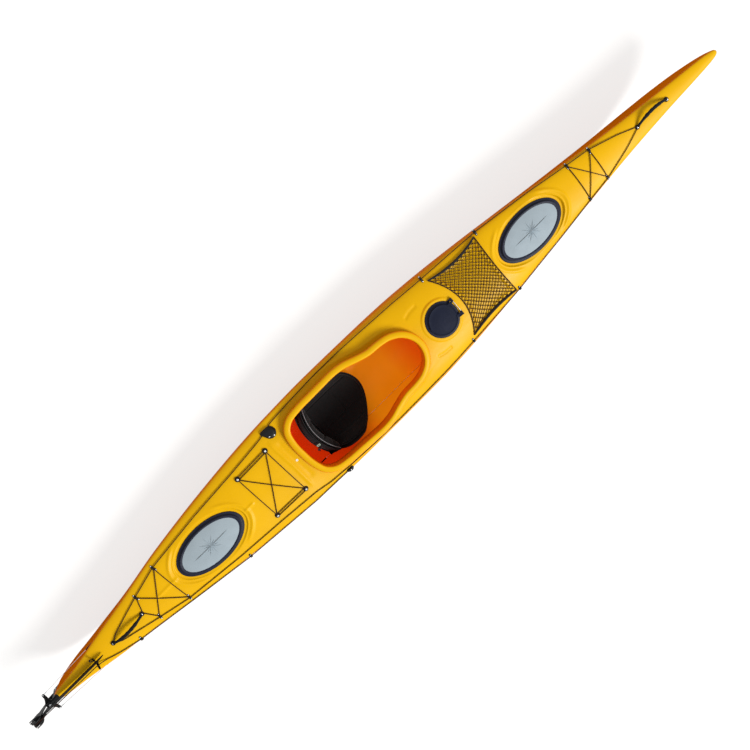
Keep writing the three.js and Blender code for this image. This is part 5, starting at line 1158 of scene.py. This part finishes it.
def puffed(name, verts, faces, voxel, cap, held, sewn):
    """Stuffed cloth: remeshed evenly, blown up with its underside held, then sewn and subdivided."""
    obj = tidied(mesh_object(name, verts, faces, CLOTH))
    even = obj.modifiers.new("even", "REMESH")
    even.mode, even.voxel_size, even.use_smooth_shade = "VOXEL", voxel, True

    def settle():
        view = bpy.context.evaluated_depsgraph_get()
        mesh = bpy.data.meshes.new_from_object(obj.evaluated_get(view), depsgraph=view)
        obj.modifiers.clear()
        obj.data = mesh
    settle()
    start = vertex_places(obj)
    group = obj.vertex_groups.new(name="held")
    group.add(np.flatnonzero(held(*start.T)).tolist(), 1.0, "REPLACE")
    cloth = obj.modifiers.new("cloth", "CLOTH")
    for setting, value in (("quality", 6), ("use_pressure", True), ("uniform_pressure_force", 3.0),
                           ("vertex_group_mass", "held"), ("tension_stiffness", 12),
                           ("compression_stiffness", 8), ("bending_stiffness", 0.4)):
        setattr(cloth.settings, setting, value)
    cloth.settings.effector_weights.gravity = 0.0
    cloth.point_cache.frame_start, cloth.point_cache.frame_end = 1, 20
    for moment in range(1, 21):
        scene.frame_set(moment)
    settle()
    scene.frame_set(1)
    move = vertex_places(obj) - start
    far = np.linalg.norm(move, axis=1, keepdims=True)
    reshaped(obj, start + move * np.minimum(1, cap / np.maximum(far, 1e-9)))
    obj.data.materials.clear()
    obj.data.materials.append(CLOTH)
    obj.data.polygons.foreach_set("use_smooth", np.ones(len(obj.data.polygons), dtype=bool))
    reshaped(obj, sewn(*vertex_places(obj).T))
    fine = obj.modifiers.new("fine", "SUBSURF")
    fine.levels = fine.render_levels = 1
    return obj


def crowned(u, v, low):
    inwards = np.minimum(np.minimum(u, 1 - u) * 2, 1 - np.abs(v)) / 2
    return np.sqrt(np.minimum(1, 5 * inwards + low))


def pad_face(low, crown=0.0):
    """A surface over the seat, inside the pan's edge, at a thickness square to it."""
    def surface(u, v):
        along, w = 0.13 + (0.975 - 0.13) * u, rounded(u, v) * 0.93
        return seat_surface(along, w, (low + crown * crowned(u, v, 0.10)) * steepness(along, w))
    return surface


def make_pad():
    """Seat cushion with two pairs of lengthwise channels and one across, its welt and its lining."""
    def under(x, y, z):
        u, v = seat_share(x, y)
        return z < seat_height(u, v) + 0.0036 * steepness(u, v)

    def sewn(x, y, z):
        u, v = seat_share(x, y)
        steep = steepness(u, v)
        above = np.clip((z - seat_height(u, v)) / (0.010 * steep), 0, 1)
        middle = np.minimum(np.abs(np.abs(v) - 0.42), np.abs(np.abs(v) - 0.74) * 1.2) * SEAT_HALF
        groove = bell(middle, SEAM_WIDTH) * smooth(0.14, 0.24, u) * smooth(0.98, 0.90, u)
        cross = bell((u - 0.60 - 0.10 * v * v) * SEAT_LENGTH, SEAM_WIDTH) * smooth(0.44, 0.40, np.abs(v))
        return np.stack([x, y, z - SEAM_DEPTH * steep * above * np.maximum(groove, cross)], axis=1)
    verts, faces, edge = patch(70, 90, pad_face(0.0046, 0.0092), pad_face(0.0012))
    pad = puffed("seat_cushion", verts, faces, 0.0040, 0.006, under, sewn)
    finish(pad, "seat_pad")
    edge[:, 2] += 0.0002
    finish(tube("seat_welt", resample(edge, 420), 0.0028, WEBBING, sides=8, caps=False))
    verts, faces, _ = patch(40, 60, pad_face(0.0018), pad_face(0.0004))
    finish(tidied(mesh_object("seat_lining", verts, faces, CLOTH)))


def back_x(v, height):
    """Front of the backrest band: curved round the hips and leaning."""
    return HINGE[0] - BACK_LEAN * (height - HINGE[1]) + BACK_CURVE * v * v


def back_face(offset, inset=0.0, crown=0.0, low=0.0):
    def surface(u, v):
        w = v * (1 - 0.06 * smooth(0.75, 1.0, u) ** 2 - 0.11 * smooth(0.48, 0.0, u) ** 2)
        height = BACK_LOW + inset + u * (BACK_TALL - 2 * inset) * (1 - 0.22 * w ** 4)
        x = back_x(w, height) + offset + crown * crowned(u, v, low)
        return np.stack([x, w * (BACK_HALF - inset), height], axis=-1)
    return surface


def make_backrest():
    verts, faces, _ = patch(24, 90, back_face(0.0), back_face(-0.005))
    pieces = [tidied(mesh_object("backrest_band", verts, faces, FOAM))]
    x, z = HINGE
    for sign, word in SIDES:
        inner = sign * 0.1195
        reach = BACK_CURVE * (inner / BACK_HALF) ** 2
        outline = arc(0, z, 0.010, 180, 360, 14)
        outline += [(reach - 0.0025, 0.171), (reach - 0.010, 0.171), (-0.005, 0.136)]
        pieces.append(prism(f"backrest_ear_{word}", outline, inner - 0.0035, inner + 0.0035, FOAM,
                            (x, 0, 0)))
        pin = [(x, y, z) for y in (inner, inner + sign * 0.006, sign * 0.1322)]
        pieces.append(tube(f"backrest_pin_{word}", pin, 0.0039, FOAM, sides=16))
    finish(joined("backrest_frame", pieces), "backrest_shell", "backrest_body")

    def against(x, y, z):
        return x - back_x(y / BACK_HALF, z) < 0.0045

    def sewn(x, y, z):
        above = np.clip((x - back_x(y / BACK_HALF, z) - 0.004) / 0.014, 0, 1)
        gap = np.minimum(np.abs(np.abs(y) - 0.060), np.abs(np.abs(y) - 0.118))
        return np.stack([x - 0.008 * above * bell(gap, 0.0045), y, z], axis=1)
    verts, faces, _ = patch(40, 110, back_face(0.0006, 0.018, 0.0270, 0.04), back_face(0.0006, 0.018))
    pad = puffed("backrest_cushion", verts, faces, 0.0045, 0.008, against, sewn)
    finish(pad, "backrest_pad", "backrest_body")

    v = np.linspace(-0.97, 0.97, 90) * 0.93
    height = BACK_LOW + 0.985 * BACK_TALL * (1 - 0.22 * v ** 4)
    crest = np.stack([back_x(v, height) + 0.0160, v * BACK_HALF, height], axis=1)
    finish(tube("backrest_piping", crest, 0.0019, PIPING, sides=8), None, "backrest_body")
    verts, faces, _ = patch(20, 60, back_face(-0.0056, 0.012), back_face(-0.0056, 0.012, -0.0300, 0.05))
    cover = tidied(mesh_object("backrest_rear_cover", verts, faces, WEBBING))
    finish(cover, None, "backrest_body")


def make_straps():
    """Adjusting strap of the backrest, with its loose tab and its buckle."""
    def at(y, height, out=0.0368):
        return back_x(y / BACK_HALF, height) - out, y, height

    routes = {"tab": ([at(-0.078, 0.226), at(-0.086, 0.218, 0.044), at(-0.094, 0.200, 0.052),
                       at(-0.098, 0.178, 0.056)], 0.024, 0.003),
              "strap": ([at(y, 0.196) for y in np.linspace(-0.14, 0.14, 9)], 0.018, 0.0025)}
    for name, (route, wide, thick) in routes.items():
        webbing = tube(f"backrest_{name}", catmull(route, 40), wide / 2, WEBBING, sides=12, flat=thick / wide)
        finish(webbing, None, "backrest_body")
    corners = [(-0.011, -0.006), (0.011, -0.006), (0.011, 0.006), (-0.011, 0.006)]
    loops = [[(x * a, y * b, z) for x, y in corners]
             for a, b, z in ((1, 1, 0), (0.62, 0.35, 0), (0.62, 0.35, 0.0035), (1, 1, 0.0035))]
    grid = np.array(loops)
    faces = weld_grid(grid, True, True)
    buckle = mesh_object("backrest_buckle", grid.reshape(-1, 3), faces, GREEN, smoothed=False)
    spot = Matrix.Translation(at(-0.055, 0.236, 0.020)) @ Matrix.Rotation(-0.35, 4, "Y")
    finish(placed(softened(buckle, 0.0008), spot), None, "backrest_body")


make_pan()
make_pad()
make_backrest()
make_straps()

# Rudder, its bracket and chock, and the two cleats
PIN_X, STERN_TOP = -2.640, 0.2850
HUB_LOW, HUB_HIGH, LUG_LOW, LUG_HIGH, BRACKET_LOW = 0.2620, 0.2990, 0.2520, 0.3070, 0.2150
PIVOT_X, PIVOT_Z, BLADE_LOW = -2.728, 0.337, 0.317
CHEEK_IN, CHEEK_OUT, CHEEK_R, DRUM_R = 0.0083, 0.0128, 0.038, 0.033
CABLE_MOUTH, CABLE_END, CHOCK_X = (-2.2912, 0.0755, 0.286), (PIN_X + 0.0146, 0.062, 0.284), -2.301


def across_steering(obj, node):
    """Hides the frame's solid for a cord from the hull to the rudder head, and bakes the cord's placing into
    its points.
    """
    in_slot(node)
    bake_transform(obj)


def make_uphaul():
    """From its cleat through the guides and the chock, and round the drum's groove."""
    deck = lay([(x, -y) for x, y in UPHAUL])
    turn = np.radians(np.arange(80, 204, 6))
    spool = DRUM_R - 0.0040 + CORD_RADIUS + GAP
    wrap = np.stack([PIVOT_X + spool * np.cos(turn), 0 * turn, PIVOT_Z + spool * np.sin(turn)], axis=1)
    rise = np.linspace((CHOCK_X, -0.0226, BLADE_LOW + 0.013), wrap[0], 26)[:-1]
    path = soften(np.concatenate([deck, rise, wrap]))
    across_steering(tube("uphaul_cord", path, CORD_RADIUS, CORD, sides=12), "uphaul_line")


def make_cables():
    """Bare steering cables beside the stern, crimped to screws on the yoke's tips."""
    share = np.linspace(0, 1, 40)
    thick = np.where(share > 0.945, 0.0024, 0.0012)
    for sign, word in SIDES:
        path = np.linspace(CABLE_MOUTH, CABLE_END, 40) * (1, sign, 1)
        cable = tube(f"steering_cable_{word}", path, thick, STEEL, sides=12)
        across_steering(cable, f"rudder_cable_{word}")
        place = (PIN_X + 0.0070, sign * 0.0612, STERN_TOP + 0.0019)
        screw(f"yoke_screw_{word}", "yoke", place, (0, 0, 1), "rudder_head_body")


def hull_half(x, z):
    """Half breadth of the moulding at a place along it and a height."""
    breadth, sheer, ridge, keel, across_power, down_power = (float(value) for value in section(x / HALF))
    if z >= sheer:
        return breadth * math.sqrt(max(0.0, 1 - ((z - sheer) / (ridge - sheer)) ** 2))
    return breadth * (1 - min(1.0, (sheer - z) / (sheer - keel)) ** down_power) ** (1 / across_power)


def make_bracket():
    """Saddle that grips the stern, and the two lugs round the pin."""
    low, top, rows = BRACKET_LOW, LUG_HIGH - 0.0010, []
    for z in np.linspace(low, top, 16):
        ease = 0.0016 * float(smooth(0.004, 0.0, min(z - low, top - z)))
        half = [(-2.560, min(0.0205, max(0.004, hull_half(-2.560, z) - 0.0006))),
                (-2.572, min(0.0208, max(0.010, hull_half(-2.572, z) + 0.0030))),
                (-2.588, 0.0185), (-2.602, 0.0172), (-2.6085, 0.0163), (-2.6105, 0.0140)]
        half = [(x + ease * (i > 3), y - ease * (i > 0)) for i, (x, y) in enumerate(half)]
        rows.append([(x, y, z) for x, y in half] + [(x, -y, z) for x, y in reversed(half)])
    pieces = [loft("bracket_saddle", rows, BLACK)]
    lug = [(-2.590, 0.0180), (PIN_X, 0.0160)] + arc(PIN_X, 0, 0.016, 100, 260, 28)
    lug += [(PIN_X, -0.0160), (-2.590, -0.0180)]
    for low, high in ((HUB_HIGH + GAP, LUG_HIGH), (LUG_LOW, HUB_LOW - GAP)):
        pieces.append(plan("bracket_lug", lug, low, high, BLACK))
    finish(softened(creased(tidied(joined("stern_bracket_moulding", pieces))), 0.0010), "stern_bracket")
    for number, z in enumerate((0.230, 0.243)):
        for sign, word in reversed(SIDES):
            screw(f"bracket_screw_{number}_{word}", "bracket", (-2.592, sign * 0.0180, z), (0, sign, 0))


YOKE = mm([(-44.2, 8.3), (-23.4, 17.3), (-12, 30), (-3, 44), (-1, 55), (0.6, 61.5)]) \
    + arc(0.0070, 0.0612, 0.0064, 180, 0, 14) + mm([(14, 52), (12.5, 38), (10, 24), (6.5, 10.8), (-6.5, 8.3)])
FINGERS = mm([(34, 12.4), (28, 20), (16, 27.5), (4, 30.2), (-10, 30.5), (-30, 30.5), (-33, 28.4),
              (-30, 26.2), (-7, 26), (-5, 23.8), (-7, 21.6), (-33, 21.4), (-36, 19.2), (-33, 17),
              (-7, 16.8), (-5, 15), (-7, 12.4)])


def make_head():
    """Hub, cheeks, swept yoke, floor and the guard fingers beside the cheeks."""
    hub = [(0.0, HUB_LOW), (0.0, HUB_HIGH), (0.0086, HUB_HIGH), (0.0086, HUB_LOW)]
    pieces = [turned("rudder_hub", 0.013, 0.013, hub, (PIN_X, 0, 0), BLACK, sides=64, closed=True)]
    fore, aft, wide = PIN_X - 0.0065, PIN_X - 0.0338, CHEEK_IN + 0.00225
    cheek = [(fore, HUB_LOW), (fore, HUB_HIGH), (PIN_X - 0.0178, HUB_HIGH)]
    cheek += arc(PIVOT_X, PIVOT_Z, CHEEK_R, 20, 290, 60)
    rib = arc(PIVOT_X, PIVOT_Z, 0.0135, 0, 345, 23)
    for sign in (-1, 1):
        for name, outline, start, end in (("rudder_cheek", cheek, CHEEK_IN, CHEEK_OUT),
                                          ("cheek_rib", rib, CHEEK_OUT - 0.0002, CHEEK_OUT + 0.0012)):
            pieces.append(prism(name, outline, *sorted((sign * start, sign * end)), BLACK))
        for name, outline, x0, low, high in (("yoke_arm", YOKE, PIN_X, STERN_TOP - 0.004, STERN_TOP + 0.002),
                                             ("guard_fingers", FINGERS, PIVOT_X, PIVOT_Z + 0.0125,
                                              PIVOT_Z + 0.0185)):
            pieces.append(plan(name, [(x0 + x, sign * y) for x, y in outline], low, high, BLACK))
    floor = [(aft, HUB_LOW), (fore, HUB_LOW), (fore, STERN_TOP - 0.001), (aft, STERN_TOP - 0.001)]
    pieces.append(prism("rudder_floor", floor, -wide, wide, BLACK))
    head = creased(tidied(joined("rudder_head_moulding", pieces)))
    finish(softened(head, 0.0009), "rudder_head", "rudder_head_body")


def make_blade():
    """Slim foil with a rounded tip, rooted in the grooved drum."""
    edges = [(PIVOT_X + 0.012, 0.3205, 0.3560), (PIN_X, 0.3170, 0.3590)] + mm([
        (-2500, 317, 359), (-2400, 317, 359), (-2336, 317.2, 358.8), (-2300, 319, 355.5),
        (-2267, 321.8, 350.2), (-2248, 324.3, 344), (-2238.5, 329, 335)])
    turn, rows, steps = 2 * math.pi * np.arange(28) / 28, [], 64
    for i, (x, low, high) in enumerate(catmull(edges, steps)):
        thick = 0.0025 * math.sqrt(max(0.05, min(1.0, (steps - 1 - i) / 10)))
        y = thick * np.sign(np.sin(turn)) * np.abs(np.sin(turn)) ** 0.8
        rows.append(np.stack([np.full(28, x), y, (low + high) / 2 + (high - low) / 2 * np.cos(turn)], axis=1))
    lip = [(5.3, -7.5), (0.8, -7.5), (0, -6.7), (0, -4.9), (3.4, -3.1), (4, -2.3)]
    groove = mm([(DRUM_R / MM - 5.3, -7.5)] + lip[1:] + [(inset, -z) for inset, z in reversed(lip[1:])]
                + [(DRUM_R / MM - 5.3, 7.5)])
    drum = turned("rudder_drum", DRUM_R, DRUM_R, groove, (0, 0, 0), BLACK, sides=96, closed=True)
    placed(drum, Matrix.Translation((PIVOT_X, 0, PIVOT_Z)) @ UPRIGHT)
    blade = joined("rudder_blade_moulding", [loft("rudder_foil", rows, BLACK), drum])
    finish(creased(tidied(blade)), "rudder_blade", "rudder_blade_body")


def make_chock():
    """Soft fork of two open loops over a foot on the deck."""
    loop = catmull(mm([(9, 319), (16.5, 330), (30, 350), (34.5, 353.2), (39.2, 351.2), (39.8, 347.2),
                       (29.6, 330), (22.6, 319), (15.5, 316)]), 80, closed=True)
    loop = np.concatenate([loop, loop[:1]])
    pieces = [tube("chock_loop", [(CHOCK_X, sign * y, z) for y, z in loop], 0.0038, RUBBER, 16, 0.56)
              for sign in (-1, 1)]
    foot = [(y, float(deck_height(CHOCK_X, y)) + 0.0022) for y in np.linspace(-0.024, 0.024, 13)]
    plate = prism("chock_foot", foot + [(y, z - 0.006) for y, z in reversed(foot)], -0.004, 0.004, RUBBER)
    pieces.append(placed(plate, Matrix.Translation((CHOCK_X, 0, 0)) @ SIDEWAYS))
    finish(tidied(joined("chock_fork", pieces)), "rudder_chock")


def make_line_cleat():
    """Rounded teardrop in two steps, with its tail towards the stern and the deck edge."""
    x, y, head, tail, reach = -0.732, 0.221, 0.0355, 0.0125, 0.043
    lean = math.degrees(math.acos((head - tail) / reach))
    outline = arc(0, 0, head, -180 + lean, 180 - lean, 60) + arc(-reach, 0, tail, 180 - lean, 180 + lean, 24)
    steps = [(1, -4), (1, 5), (0.985, 7.2), (0.95, 8.4), (0.88, 9), (0.85, 10), (0.835, 14), (0.80, 17),
             (0.72, 19), (0.55, 20.2), (0.30, 20.8), (0.08, 21)]
    rows = [[((a + 0.010) * share - 0.010, b * share, z * MM) for a, b in outline] for share, z in steps]
    matrix = deck_matrix(x, y, (0.80, -0.545))
    finish(placed(tidied(loft("line_cleat_moulding", rows, BLACK)), matrix), "line_cleat")
    for number, (a, b) in enumerate(((0.021, -0.017), (-0.008, -0.021))):
        deck_screw(f"line_cleat_screw_{number}", "line_cleat", matrix, (a, b, 0.0186))


def make_uphaul_cleat():
    outline = mm([(-22.5, -3), (22.5, -3), (22.8, 2.4), (20.5, 4.4), (17, 7), (13.5, 11.2), (11, 12.7),
                  (8, 13), (-6, 13), (-9.5, 12.4), (-15, 8), (-20.5, 4.4), (-22.8, 2.4)])
    matrix = deck_matrix(-0.5681, -0.2875, (1, 0))
    cleat = placed(prism("uphaul_cleat_moulding", outline, -0.0106, 0.0106, BLACK), matrix)
    finish(softened(cleat, 0.0014), "uphaul_cleat")
    deck_screw("uphaul_cleat_screw", "uphaul_cleat", matrix, (0.001, 0, 0.0128))


make_uphaul()
make_cables()
make_bracket()
make_head()
make_blade()
make_chock()
make_line_cleat()
make_uphaul_cleat()

# Solids of the frame that stay in view
DRESSED = {
    # The bulkheads share the inner face's painted glow
    INSIDE_GLOW: "bow_bulkhead stern_bulkhead",
    BLACK: "footrest_rail_port footrest_rail_starboard foot_pedal_port foot_pedal_starboard day_hatch_pod "
           "cable_sleeve_port cable_sleeve_starboard",
    STEEL: "day_hatch_hinge_pin rudder_pin blade_pivot_bolt pedal_cable_port pedal_cable_starboard"}
for mat, names in DRESSED.items():
    for name in names.split():
        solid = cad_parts[name]
        solid.data.materials.clear()
        solid.data.materials.append(mat)
        if mat is BLACK:
            softened(solid, 0.0006, 2)
